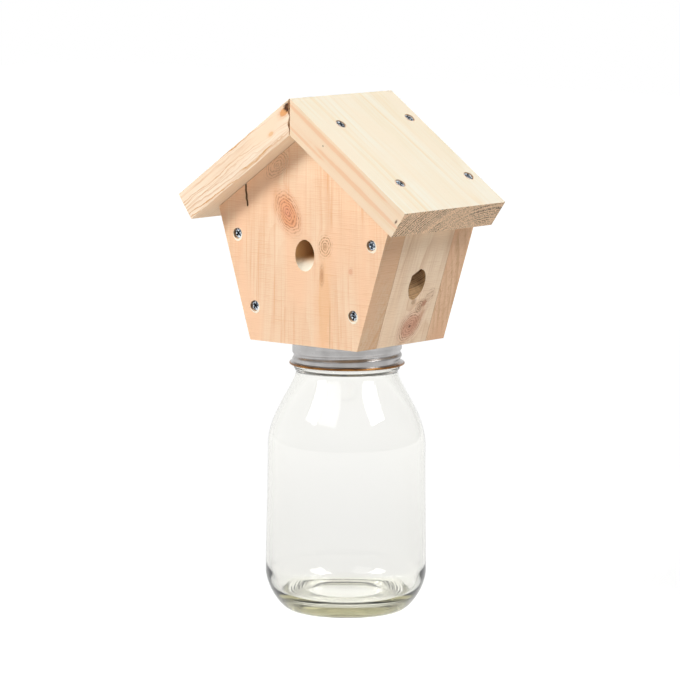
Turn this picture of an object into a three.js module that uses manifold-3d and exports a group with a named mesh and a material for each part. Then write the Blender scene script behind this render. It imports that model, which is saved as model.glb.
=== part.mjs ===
// Carpenter bee trap: a pine house with slanted entry bores, screwed onto the lid of a glass jar.
// Millimetres, +Z up. The front panel faces -Y. The origin is the middle of the footprint, on the
// surface that the jar stands on.

import * as THREE from 'three';
import { mergeVertices } from 'three/addons/utils/BufferGeometryUtils.js';
import Module from 'manifold-3d';

// House: board sizes and the slopes that they are cut to
const boardThickness = 19;
const houseDepth = 89;
const houseBottomWidth = 89.6;
const sideLeanDegrees = 17.7;
const ridgeRise = 159.7;
const roofPitchDegrees = 35.4;
const roofSlopeLength = 116;
const roofFrontOverhang = 14.2;
const roofBackSetback = 0.5;
const boardGap = 0.3;

// Bores: the entries climb inwards from the outer face of a panel
const entryDiameter = 16;
const entryClimbDegrees = 38;
const frontEntryRise = 58.2;
const frontEntryShift = 1.2;
const sideEntryRise = 42.5;
const dropHoleDiameter = 30;

// Countersunk wood screws
const woodScrewLength = 32;
const woodScrewDiameter = 3.5;
const woodScrewHeadDiameter = 6.8;
const woodScrewHeadHeight = 2.1;
const woodScrewHeadRim = 0.3;
const woodScrewTip = 4;
const woodScrewSink = 0.4;
const panelScrewInset = 10.8;
const panelScrewLowRise = 22.5;
const panelScrewHighRise = 68.6;
const roofScrewUpperRun = 28;
const roofScrewLowerRun = 88;

// Pan head screws that hold the lid disc under the floor board
const lidScrewCount = 4;
const lidScrewEdge = 5.2;
const lidScrewLength = 12;
const lidScrewDiameter = 3.5;
const lidScrewHeadDiameter = 6.6;
const lidScrewHeadHeight = 2;
const lidScrewTip = 2.5;

// Cross recess of every screw
const recessSpan = 3.6;
const recessWidth = 0.9;
const recessDepth = 1.3;

// Screw band, lid disc and the sealing ring under the disc's rim
const bandHeight = 15.9;
const bandWall = 0.5;
const bandBodyRadius = 35.7;
const bandShoulderBulge = 0.35;
const bandShoulderHeight = 3.4;
const bandCornerRadius = 1.1;
const bandFlangeWidth = 4.9;
const bandFlareHeight = 2.2;
const curlReach = 1.9;
const curlDiameter = 1.6;
const discThickness = 0.5;
const discHoleDiameter = 28;
const sealThickness = 0.8;
const sealWidth = 3.2;

// Thread: the band's rolled groove, and the jar's raised thread half a pitch above it
const threadPitch = 5.08;
const threadFadeDegrees = 35;
const threadStartDegrees = -10;
const grooveStartRise = 2.7;
const grooveTurns = 1.5;
const grooveDepth = 1;
const grooveHalfWidth = 1.35;
const jarThreadTurns = 1.1;
const jarThreadHeight = 1.5;
const jarThreadHalfWidth = 1.35;

// Jar
const jarHeight = 174.8;
const jarBodyRadius = 52.6;
const jarShoulderRadius = 51.6;
const jarWall = 2.8;
const jarLipWidth = 3.4;
const bearingRadius = 37;
const bearingWidth = 3;
const pushUpHeight = 4.5;
const baseThickness = 5;
const heelHeight = 26;
const heelFootReach = 5;
const heelBodyReach = 12;
const shoulderDrop = 66.8;
const shoulderReach = 20;
const neckRootDrop = 18.8;
const neckRootReach = 9;
const neckRootFlare = 1.4;
const beadDrop = 15.4;
const beadBulge = 1.25;
const beadHalfHeight = 2.2;
const lipRadius = 1.2;

// Clearances
const fitGap = 0.3;
const seatGap = 0.2;
const cutOverrun = 2;
const samePoint = 0.001;

// Facets and steps of the round forms, as counts
const jarFacets = 32;
const bandFacets = 32;
const discFacets = 32;
const boreFacets = 24;
const screwFacets = 10;
const threadSteps = 11;
const curveSteps = 6;
const cornerSteps = 3;

const sideLean = THREE.MathUtils.degToRad(sideLeanDegrees);
const roofPitch = THREE.MathUtils.degToRad(roofPitchDegrees);
const entryClimb = THREE.MathUtils.degToRad(entryClimbDegrees);
const threadFade = THREE.MathUtils.degToRad(threadFadeDegrees);
const threadStart = THREE.MathUtils.degToRad(threadStartDegrees);
const fullTurn = 2 * Math.PI;
const sides = { left: -1, right: 1 };
const ends = { front: -1, back: 1 };

// Heights of the stack between the jar's lip and the underside of the house
const discRimDrop = fitGap + bandWall + seatGap;
const sealDrop = discRimDrop + discThickness + seatGap;
const houseBase = jarHeight + seatGap + sealThickness + sealDrop;
const bandBase = houseBase - fitGap - bandHeight;

// The neck's thread fits inside the band, and the disc's flat middle inside the band's opening
const bandInnerRadius = bandBodyRadius - bandWall;
const bandOpeningRadius = bandBodyRadius - bandFlangeWidth;
const discMiddleRadius = bandOpeningRadius - 2 * fitGap - discThickness;
const lidScrewCircleRadius = discMiddleRadius - lidScrewEdge;
const jarNeckRadius = bandInnerRadius - fitGap - jarThreadHeight;
const jarMouthRadius = jarNeckRadius - jarLipWidth;

const pine = new THREE.MeshStandardMaterial({ color: '#e6bd90', roughness: 0.75, metalness: 0 });
const palePine = new THREE.MeshStandardMaterial({ color: '#f0dfc0', roughness: 0.75, metalness: 0 });
const zinc = new THREE.MeshStandardMaterial({ color: '#b9bcc0', roughness: 0.35, metalness: 0.9 });
const tinplate = new THREE.MeshStandardMaterial({ color: '#b4b4b6', roughness: 0.4, metalness: 0.8 });
const lacqueredTin = new THREE.MeshStandardMaterial({ color: '#cfc08c', roughness: 0.35, metalness: 0.6 });
const sealant = new THREE.MeshStandardMaterial({ color: '#8f8f8b', roughness: 0.7, metalness: 0 });
const clearGlass = new THREE.MeshStandardMaterial({ color: '#eef3f1', roughness: 0.05, metalness: 0 });

const wasm = await Module();
wasm.setup();

// A solid that can be cut, made from any closed geometry
function solidOf(geometry) {
  const bare = geometry.clone();
  bare.deleteAttribute('normal');
  bare.deleteAttribute('uv');
  const welded = mergeVertices(bare);
  const corners = welded.index.array;
  const kept = [];
  for (let corner = 0; corner < corners.length; corner += 3) {
    const [a, b, c] = corners.slice(corner, corner + 3);
    if (a !== b && b !== c && c !== a) kept.push(a, b, c);
  }
  const vertProperties = new Float32Array(welded.attributes.position.array);
  const triVerts = new Uint32Array(kept);
  return new wasm.Manifold(new wasm.Mesh({ numProp: 3, vertProperties, triVerts }));
}

function geometryOf(solid) {
  const mesh = solid.getMesh();
  const geometry = new THREE.BufferGeometry();
  geometry.setAttribute('position', new THREE.BufferAttribute(new Float32Array(mesh.vertProperties), 3));
  geometry.setIndex(new THREE.BufferAttribute(new Uint32Array(mesh.triVerts), 1));
  const faceted = geometry.toNonIndexed();
  faceted.computeVertexNormals();
  return faceted;
}

function cutFrom(geometry, cutters) {
  let solid = solidOf(geometry);
  for (const cutter of cutters) {
    solid = solid.subtract(solidOf(cutter));
  }
  return geometryOf(solid);
}

// A board from its outline seen from the front, between its front and back faces
function boardBetween(outline, frontY, backY) {
  const shape = new THREE.Shape(outline.map(([x, z]) => new THREE.Vector2(x, z)));
  const geometry = new THREE.ExtrudeGeometry(shape, { depth: backY - frontY, bevelEnabled: false });
  geometry.rotateX(Math.PI / 2);
  geometry.translate(0, backY, 0);
  return geometry;
}

// One list of profile points from several, without a point that repeats the one before it
function chained(...pieces) {
  const chain = [];
  for (const point of pieces.flat()) {
    const last = chain[chain.length - 1];
    if (!last || last.distanceTo(point) > samePoint) chain.push(point);
  }
  return chain;
}

// A round piece about Z. Its profile runs up the outside and down the inside
function turned(profile, facets) {
  const geometry = new THREE.LatheGeometry(profile, facets);
  geometry.rotateX(Math.PI / 2);
  return geometry;
}

function ring(profile, facets) {
  return turned([...profile, profile[0]], facets);
}

function at(radius, height) {
  return new THREE.Vector2(radius, height);
}

// Points on a round corner, between two angles given in quarter turns
function corner(centreRadius, centreHeight, radius, fromQuarter, toQuarter, steps) {
  const points = [];
  for (let step = 0; step <= steps; step += 1) {
    const quarter = fromQuarter + (toQuarter - fromQuarter) * step / steps;
    const angle = quarter * Math.PI / 2;
    points.push(at(centreRadius + radius * Math.cos(angle), centreHeight + radius * Math.sin(angle)));
  }
  return points;
}

function evenly(radius, fromHeight, toHeight, steps) {
  const points = [];
  for (let step = 0; step <= steps; step += 1) {
    points.push(at(radius, fromHeight + (toHeight - fromHeight) * step / steps));
  }
  return points;
}

// A plain cylinder whose axis runs along a direction through its middle
function bore(diameter, length, middle, direction, facets) {
  const geometry = new THREE.CylinderGeometry(diameter / 2, diameter / 2, length, facets);
  geometry.applyQuaternion(new THREE.Quaternion().setFromUnitVectors(new THREE.Vector3(0, 1, 0), direction));
  geometry.translate(middle.x, middle.y, middle.z);
  return geometry;
}

function named(name, geometry, material) {
  const mesh = new THREE.Mesh(geometry, material.clone());
  mesh.name = name;
  return mesh;
}

// House outlines, seen from the front, from the underside of the house up
const bottomHalfWidth = houseBottomWidth / 2;
const sideBoardWidth = boardThickness / Math.cos(sideLean);
const roofApexRise = ridgeRise - boardThickness / Math.cos(roofPitch);
const panelApexRise = roofApexRise - boardGap / Math.cos(roofPitch);
const frontFace = -houseDepth / 2;
const backFace = houseDepth / 2;
const frontEndOfSides = frontFace + boardThickness + boardGap;
const backEndOfSides = backFace - boardThickness - boardGap;

function leaningX(halfWidthAtBottom, rise) {
  return halfWidthAtBottom + rise * Math.tan(sideLean);
}

// Where a leaning face that starts at a half width meets the line under the roof
function underRoof(halfWidthAtBottom) {
  const fall = Math.tan(roofPitch);
  const rise = (panelApexRise - halfWidthAtBottom * fall) / (1 + Math.tan(sideLean) * fall);
  return [leaningX(halfWidthAtBottom, rise), rise];
}

function gableOutline() {
  const [eaveX, eaveRise] = underRoof(bottomHalfWidth);
  return [
    [-bottomHalfWidth, 0],
    [bottomHalfWidth, 0],
    [eaveX, eaveRise],
    [0, panelApexRise],
    [-eaveX, eaveRise],
  ];
}

function sideOutline(side) {
  const innerHalfWidth = bottomHalfWidth - sideBoardWidth;
  const outline = [
    [innerHalfWidth, 0],
    [bottomHalfWidth, 0],
    underRoof(bottomHalfWidth),
    underRoof(innerHalfWidth),
  ];
  return outline.map(([x, rise]) => [side * x, rise]);
}

function floorOutline() {
  const halfWidth = bottomHalfWidth - sideBoardWidth - boardGap;
  const topHalfWidth = leaningX(halfWidth, boardThickness);
  return [
    [-halfWidth, 0],
    [halfWidth, 0],
    [topHalfWidth, boardThickness],
    [-topHalfWidth, boardThickness],
  ];
}

// The roof boards meet in a plumb mitre at the ridge and have square eaves
function roofOutline(side) {
  const mitreX = boardGap / 2;
  const eaveX = roofSlopeLength * Math.cos(roofPitch);
  const eaveRise = ridgeRise - roofSlopeLength * Math.sin(roofPitch);
  const mitreFall = mitreX * Math.tan(roofPitch);
  const outline = [
    [mitreX, ridgeRise - mitreFall],
    [eaveX, eaveRise],
    [eaveX - boardThickness * Math.sin(roofPitch), eaveRise - boardThickness * Math.cos(roofPitch)],
    [mitreX, roofApexRise - mitreFall],
  ];
  return outline.map(([x, rise]) => [side * x, rise]);
}

// Places of the wood screws: where each head lies and the way it is driven
function panelScrewPlaces() {
  const places = [];
  const rises = { lower: panelScrewLowRise, upper: panelScrewHighRise };
  for (const [endName, end] of Object.entries(ends)) {
    for (const [level, rise] of Object.entries(rises)) {
      for (const [sideName, side] of Object.entries(sides)) {
        const x = side * (leaningX(bottomHalfWidth, rise) - panelScrewInset);
        const head = new THREE.Vector3(x, end * (backFace - woodScrewSink), rise);
        const drive = new THREE.Vector3(0, -end, 0);
        places.push({ name: `${endName}_panel_screw_${level}_${sideName}`, head, drive });
      }
    }
  }
  return places;
}

function roofScrewPlaces() {
  const places = [];
  const runs = { upper: roofScrewUpperRun, lower: roofScrewLowerRun };
  for (const [sideName, side] of Object.entries(sides)) {
    for (const [level, run] of Object.entries(runs)) {
      for (const [endName, end] of Object.entries(ends)) {
        const drive = new THREE.Vector3(-side * Math.sin(roofPitch), 0, -Math.cos(roofPitch));
        const x = side * run * Math.cos(roofPitch);
        const y = end * (backFace - boardThickness / 2);
        const surface = new THREE.Vector3(x, y, ridgeRise - run * Math.sin(roofPitch));
        const head = surface.addScaledVector(drive, woodScrewSink);
        places.push({ name: `${sideName}_roof_screw_${level}_${endName}`, head, drive });
      }
    }
  }
  return places;
}

function lidScrewPlaces() {
  const places = [];
  const underDisc = -seatGap - discThickness - seatGap;
  for (let index = 0; index < lidScrewCount; index += 1) {
    const angle = (index + 1 / 2) * fullTurn / lidScrewCount;
    const x = lidScrewCircleRadius * Math.cos(angle);
    const y = lidScrewCircleRadius * Math.sin(angle);
    const head = new THREE.Vector3(x, y, underDisc);
    places.push({ name: `lid_screw_${index + 1}`, head, drive: new THREE.Vector3(0, 0, 1) });
  }
  return places;
}

const woodScrewPlaces = [...panelScrewPlaces(), ...roofScrewPlaces()];
const lidPlaces = lidScrewPlaces();
const down = new THREE.Vector3(0, 0, -1);

function recessed(geometry, headTop) {
  const across = new THREE.BoxGeometry(recessSpan, recessWidth, 2 * recessDepth);
  const along = new THREE.BoxGeometry(recessWidth, recessSpan, 2 * recessDepth);
  const cutters = [across, along];
  cutters.forEach((cutter) => cutter.translate(0, 0, headTop));
  return cutFrom(geometry, cutters);
}

// A countersunk screw with the top of its head at zero and its tip down
function woodScrew() {
  const shank = woodScrewDiameter / 2;
  const head = woodScrewHeadDiameter / 2;
  const profile = [
    at(0, -woodScrewLength),
    at(shank, -woodScrewLength + woodScrewTip),
    at(shank, -woodScrewHeadHeight),
    at(head, -woodScrewHeadRim),
    at(head, 0),
    at(0, 0),
  ];
  return recessed(turned(profile, screwFacets), 0);
}

// The hole that the countersunk screw leaves in the boards, open above its head
function woodScrewHole() {
  const shank = woodScrewDiameter / 2 + fitGap;
  const head = woodScrewHeadDiameter / 2 + fitGap;
  const above = woodScrewSink + cutOverrun;
  const profile = [
    at(0, -woodScrewLength - fitGap),
    at(shank, -woodScrewLength - fitGap),
    at(shank, -woodScrewHeadHeight - fitGap),
    at(head, -woodScrewHeadRim - fitGap),
    at(head, above),
    at(0, above),
  ];
  return turned(profile, screwFacets);
}

// A pan head screw with the seat of its head at zero and its tip down
function lidScrew() {
  const shank = lidScrewDiameter / 2;
  const head = lidScrewHeadDiameter / 2;
  const edgeHeight = lidScrewHeadHeight / 2;
  const profile = [
    at(0, -lidScrewLength),
    at(shank, -lidScrewLength + lidScrewTip),
    at(shank, 0),
    at(head, 0),
    at(head, edgeHeight),
    at(recessSpan / 2 + recessWidth / 2, lidScrewHeadHeight),
    at(0, lidScrewHeadHeight),
  ];
  return recessed(turned(profile, screwFacets), lidScrewHeadHeight);
}

function lidScrewHole() {
  const length = lidScrewLength + fitGap + cutOverrun;
  const middle = new THREE.Vector3(0, 0, cutOverrun - length / 2);
  return bore(lidScrewDiameter + 2 * fitGap, length, middle, down, screwFacets);
}

function carriedTo(place, geometry) {
  const carried = geometry.clone();
  carried.applyQuaternion(new THREE.Quaternion().setFromUnitVectors(down, place.drive));
  carried.translate(place.head.x, place.head.y, place.head.z);
  return carried;
}

const woodHole = woodScrewHole();
const lidHole = lidScrewHole();
const woodScrewCuts = woodScrewPlaces.map((place) => carriedTo(place, woodHole));
const lidScrewCuts = lidPlaces.map((place) => carriedTo(place, lidHole));
const screwCuts = [...woodScrewCuts, ...lidScrewCuts];

// Long enough to pass right through a board at the steepest climb that it is drilled at
const entryLength = 2 * (boardThickness + entryDiameter + cutOverrun) / Math.cos(entryClimb);

function frontEntry() {
  const middle = new THREE.Vector3(frontEntryShift, frontFace, frontEntryRise);
  const inwards = new THREE.Vector3(0, Math.cos(entryClimb), Math.sin(entryClimb));
  return bore(entryDiameter, entryLength, middle, inwards, boreFacets);
}

function sideEntry(side) {
  const rise = sideEntryRise * Math.cos(sideLean);
  const middle = new THREE.Vector3(side * leaningX(bottomHalfWidth, rise), 0, rise);
  const steepness = sideLean + entryClimb;
  const inwards = new THREE.Vector3(-side * Math.cos(steepness), 0, Math.sin(steepness));
  return bore(entryDiameter, entryLength, middle, inwards, boreFacets);
}

function dropHole() {
  const middle = new THREE.Vector3(0, 0, boardThickness / 2);
  return bore(dropHoleDiameter, boardThickness + 2 * cutOverrun, middle, down, boreFacets);
}

function gablePanel(name, frontY, backY, entries) {
  const board = boardBetween(gableOutline(), frontY, backY);
  return named(name, cutFrom(board, [...entries, ...screwCuts]), pine);
}

function sidePanel(name, side) {
  const board = boardBetween(sideOutline(side), frontEndOfSides, backEndOfSides);
  return named(name, cutFrom(board, [sideEntry(side), ...screwCuts]), pine);
}

function floorBoard() {
  const board = boardBetween(floorOutline(), frontEndOfSides, backEndOfSides);
  return named('floor_board', cutFrom(board, [dropHole(), ...screwCuts]), pine);
}

function roofBoard(name, side) {
  const board = boardBetween(roofOutline(side), frontFace - roofFrontOverhang, backFace - roofBackSetback);
  return named(name, cutFrom(board, woodScrewCuts), palePine);
}

// The lid disc: a flat middle against the wood, stepped down to a rim under the band's flange
function lidDisc() {
  const hole = discHoleDiameter / 2;
  const stepRadius = discMiddleRadius + discThickness;
  const rimRadius = bandInnerRadius - 2 * fitGap;
  const profile = [
    at(hole, -seatGap - discThickness),
    at(discMiddleRadius - discThickness, -seatGap - discThickness),
    at(stepRadius - discThickness, -discRimDrop - discThickness),
    at(rimRadius, -discRimDrop - discThickness),
    at(rimRadius, -discRimDrop),
    at(stepRadius, -discRimDrop),
    at(discMiddleRadius, -seatGap),
    at(hole, -seatGap),
  ];
  return named('lid_disc', cutFrom(ring(profile, discFacets), lidScrewCuts), lacqueredTin);
}

function lidSeal() {
  const middleRadius = (jarNeckRadius + jarMouthRadius) / 2;
  const innerRadius = middleRadius - sealWidth / 2;
  const outerRadius = middleRadius + sealWidth / 2;
  const profile = [
    at(innerRadius, -sealDrop - sealThickness),
    at(outerRadius, -sealDrop - sealThickness),
    at(outerRadius, -sealDrop),
    at(innerRadius, -sealDrop),
  ];
  return named('lid_seal', ring(profile, discFacets), sealant);
}

function screwsAt(places, geometry) {
  return places.map((place) => {
    const mesh = named(place.name, geometry, zinc);
    mesh.position.copy(place.head);
    mesh.quaternion.setFromUnitVectors(down, place.drive);
    return mesh;
  });
}

// How far up the flank of a helical ridge a point lies, from 0 beside it to 1 on its crest
function ridgeShare(angle, height, thread) {
  const firstTurn = THREE.MathUtils.euclideanModulo(angle - threadStart, fullTurn);
  const length = thread.turns * fullTurn;
  let share = 0;
  for (let wound = firstTurn; wound < length; wound += fullTurn) {
    const crest = thread.startHeight + threadPitch * wound / fullTurn;
    const across = Math.abs(height - crest) / thread.halfWidth;
    const fade = THREE.MathUtils.smoothstep(Math.min(wound, length - wound), 0, threadFade);
    if (across < 1) share = Math.max(share, fade * (1 + Math.cos(Math.PI * across)) / 2);
  }
  return share;
}

// Moves the points of a wall outwards or inwards along the thread
function threaded(geometry, thread, depth, isWall) {
  const places = geometry.attributes.position;
  for (let index = 0; index < places.count; index += 1) {
    const x = places.getX(index);
    const y = places.getY(index);
    const height = places.getZ(index);
    const radius = Math.hypot(x, y);
    if (isWall(radius, height)) {
      const moved = radius + depth * ridgeShare(Math.atan2(y, x), height, thread);
      places.setXY(index, x * moved / radius, y * moved / radius);
    }
  }
  geometry.computeVertexNormals();
  return geometry;
}

// The band is rolled from thin tinplate: a curl at the foot, a rolled groove, and a flange over the lid
function screwBand() {
  const curl = curlDiameter / 2;
  const curlMiddle = bandBodyRadius + curlReach - curl;
  const shoulderRadius = bandBodyRadius + bandShoulderBulge;
  const shoulderFoot = bandHeight - bandShoulderHeight;
  const shoulderStep = 2 * bandShoulderBulge;
  const cornerHeight = bandHeight - bandCornerRadius;
  const cornerMiddle = shoulderRadius - bandCornerRadius;
  const inside = evenly(bandInnerRadius, bandFlareHeight, shoulderFoot, threadSteps).reverse();
  const profile = chained(
    corner(curlMiddle, curl, curl, 2, 5, 2 * cornerSteps),
    evenly(bandBodyRadius, bandFlareHeight, shoulderFoot, threadSteps),
    [at(shoulderRadius, shoulderFoot + shoulderStep)],
    corner(cornerMiddle, cornerHeight, bandCornerRadius, 0, 1, cornerSteps),
    [at(bandOpeningRadius, bandHeight), at(bandOpeningRadius, bandHeight - bandWall)],
    corner(cornerMiddle, cornerHeight, bandCornerRadius - bandWall, 1, 0, cornerSteps),
    [at(shoulderRadius - bandWall, shoulderFoot + shoulderStep)],
    inside,
  );
  const groove = { startHeight: grooveStartRise, turns: grooveTurns, halfWidth: grooveHalfWidth };
  const isWall = (radius, height) => height > bandFlareHeight && height < shoulderFoot;
  const geometry = threaded(ring(profile, bandFacets), groove, -grooveDepth, isWall);
  return named('screw_band', geometry, tinplate);
}

function between(start, startHandle, endHandle, end) {
  return new THREE.CubicBezierCurve(start, startHandle, endHandle, end).getPoints(curveSteps);
}

function quarterEllipse(middleHeight, radius, height) {
  return new THREE.EllipseCurve(0, middleHeight, radius, height, Math.PI / 2, 0, true).getPoints(curveSteps);
}

// From the jar's foot up to the straight body, with a wall's thickness taken off on the inside
function heelCurve(wall, foot) {
  const footRadius = bearingRadius - wall;
  const bodyRadius = jarBodyRadius - wall;
  return between(
    at(footRadius, foot),
    at(footRadius + heelFootReach, foot),
    at(bodyRadius, heelHeight - heelBodyReach),
    at(bodyRadius, heelHeight),
  );
}

function shoulderCurve(wall, neckRadius) {
  const shoulderRadius = jarShoulderRadius - wall;
  const shoulderHeight = jarHeight - shoulderDrop;
  const rootHeight = jarHeight - neckRootDrop;
  return between(
    at(shoulderRadius, shoulderHeight),
    at(shoulderRadius, shoulderHeight + shoulderReach),
    at(neckRadius + neckRootFlare, rootHeight - neckRootReach),
    at(neckRadius, rootHeight),
  );
}

function beadCurve() {
  const points = [];
  for (let step = 0; step <= curveSteps; step += 1) {
    const share = step / curveSteps;
    const height = jarHeight - beadDrop + beadHalfHeight * (2 * share - 1);
    points.push(at(jarNeckRadius + beadBulge * Math.sin(Math.PI * share), height));
  }
  return points;
}

function glassJar() {
  const lipFoot = jarHeight - lipRadius;
  const threadFoot = jarHeight - beadDrop + beadHalfHeight;
  const profile = chained(
    quarterEllipse(0, bearingRadius - bearingWidth, pushUpHeight),
    heelCurve(0, 0),
    shoulderCurve(0, jarNeckRadius),
    beadCurve(),
    evenly(jarNeckRadius, threadFoot, lipFoot, threadSteps),
    corner(jarNeckRadius - lipRadius, lipFoot, lipRadius, 0, 1, cornerSteps),
    corner(jarMouthRadius + lipRadius, lipFoot, lipRadius, 1, 2, cornerSteps),
    shoulderCurve(jarWall, jarMouthRadius).reverse(),
    heelCurve(jarWall, baseThickness).reverse(),
    quarterEllipse(baseThickness, bearingRadius - jarWall, pushUpHeight).reverse(),
  );
  const startHeight = bandBase + grooveStartRise + threadPitch / 2;
  const thread = { startHeight, turns: jarThreadTurns, halfWidth: jarThreadHalfWidth };
  const middleRadius = (jarNeckRadius + jarMouthRadius) / 2;
  const isWall = (radius, height) => radius > middleRadius && height > threadFoot && height < lipFoot;
  const geometry = threaded(turned(profile, jarFacets), thread, jarThreadHeight, isWall);
  return named('glass_jar', geometry, clearGlass);
}

// Assembly: the jar stands on the floor, the band grips its neck and the house is fixed over the band
const band = new THREE.Group();
band.position.z = bandBase;
band.add(screwBand());

const house = new THREE.Group();
house.position.z = houseBase;
house.add(
  gablePanel('front_panel', frontFace, frontFace + boardThickness, [frontEntry()]),
  gablePanel('back_panel', backFace - boardThickness, backFace, []),
  sidePanel('left_side_panel', sides.left),
  sidePanel('right_side_panel', sides.right),
  floorBoard(),
  roofBoard('left_roof_board', sides.left),
  roofBoard('right_roof_board', sides.right),
  ...screwsAt(woodScrewPlaces, woodScrew()),
  lidDisc(),
  lidSeal(),
  ...screwsAt(lidPlaces, lidScrew()),
);

// The roof reaches out at the front, so the jar stands behind the middle of the footprint
const trap = new THREE.Group();
trap.position.y = (roofFrontOverhang + houseDepth / 2 - jarBodyRadius) / 2;
trap.add(glassJar(), band, house);

export default trap;
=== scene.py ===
import math
import random

import bmesh
import bpy
from mathutils import Matrix, Vector, noise


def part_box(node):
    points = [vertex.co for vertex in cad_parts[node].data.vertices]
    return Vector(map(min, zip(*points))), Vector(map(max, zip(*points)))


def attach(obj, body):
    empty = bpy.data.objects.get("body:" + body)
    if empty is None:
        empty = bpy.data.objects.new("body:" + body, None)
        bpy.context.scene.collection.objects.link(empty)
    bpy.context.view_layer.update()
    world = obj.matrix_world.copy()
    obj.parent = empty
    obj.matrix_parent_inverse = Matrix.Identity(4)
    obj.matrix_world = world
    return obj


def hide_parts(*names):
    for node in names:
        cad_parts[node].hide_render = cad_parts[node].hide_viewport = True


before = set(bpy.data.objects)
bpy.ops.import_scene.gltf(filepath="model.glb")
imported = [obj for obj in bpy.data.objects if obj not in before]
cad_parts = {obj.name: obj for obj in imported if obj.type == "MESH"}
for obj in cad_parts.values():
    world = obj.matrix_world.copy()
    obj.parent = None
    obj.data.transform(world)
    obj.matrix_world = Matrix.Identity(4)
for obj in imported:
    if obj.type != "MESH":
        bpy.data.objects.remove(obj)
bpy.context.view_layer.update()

# The view. The camera stands to the right of the front panel, a little above the lid, and looks
# through a long lens, so that upright edges stay nearly parallel.
view_azimuth = math.radians(39.595)
view_elevation = math.radians(7.62)
view_roll = math.radians(0.286)
view_distance = 2.6
view_lens = 211.46
view_aside = -0.00463
view_height = 0.17666
jar_low, jar_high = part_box("glass_jar")
axis = Vector(((jar_low.x + jar_high.x) / 2, (jar_low.y + jar_high.y) / 2, 0))
level_right = Vector((math.cos(view_azimuth), math.sin(view_azimuth), 0))


def view_axes():
    """The camera's right, up and back directions."""
    back = Vector((
        math.sin(view_azimuth) * math.cos(view_elevation),
        -math.cos(view_azimuth) * math.cos(view_elevation),
        math.sin(view_elevation),
    ))
    up = back.cross(level_right)
    tilted = level_right * math.cos(view_roll) + up * math.sin(view_roll)
    return tilted, back.cross(tilted), back


view_right, view_up, view_back = view_axes()
view_target = axis + level_right * view_aside + Vector((0, 0, view_height))
lens = bpy.data.cameras.new("photo_lens")
lens.lens = view_lens
lens.clip_end = 20
camera = bpy.data.objects.new("photo_camera", lens)
camera.matrix_world = Matrix((view_right, view_up, view_back)).transposed().to_4x4()
camera.location = view_target + view_back * view_distance
bpy.context.scene.collection.objects.link(camera)
bpy.context.scene.camera = camera


# The studio. A pale floor runs back to a white room that is darker behind the camera and on its
# right. One softbox lights the front from the upper left and another fills the side from the right.
# A third gives no light to the wood and shows only as a reflection in metal and glass.
floor_size = 8.0
floor_drop = 0.0001
floor_colour = (0.72, 0.72, 0.72)
floor_seen_share = 0.70
floor_near = 0.4
floor_far = 2.5
floor_near_glow = 1.22
floor_far_glow = 1.45
floor_through_glass = (0.78, 0.99)
room_light = 0.12
room_behind_camera = 0.42
room_on_right = 0.5
room_through_glass = (0.80, 0.96)
white = (1, 1, 1)
softbox_distance = 2.0


class Amount:
    """A number on its way through a node tree. Sums with it add Math nodes to the tree."""

    def __init__(self, recipe, socket):
        self.recipe = recipe
        self.socket = socket

    def __add__(self, other):
        return self.recipe.math("ADD", self, other)

    def __sub__(self, other):
        return self.recipe.math("SUBTRACT", self, other)

    def __mul__(self, other):
        return self.recipe.math("MULTIPLY", self, other)

    def __truediv__(self, other):
        return self.recipe.math("DIVIDE", self, other)


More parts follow.
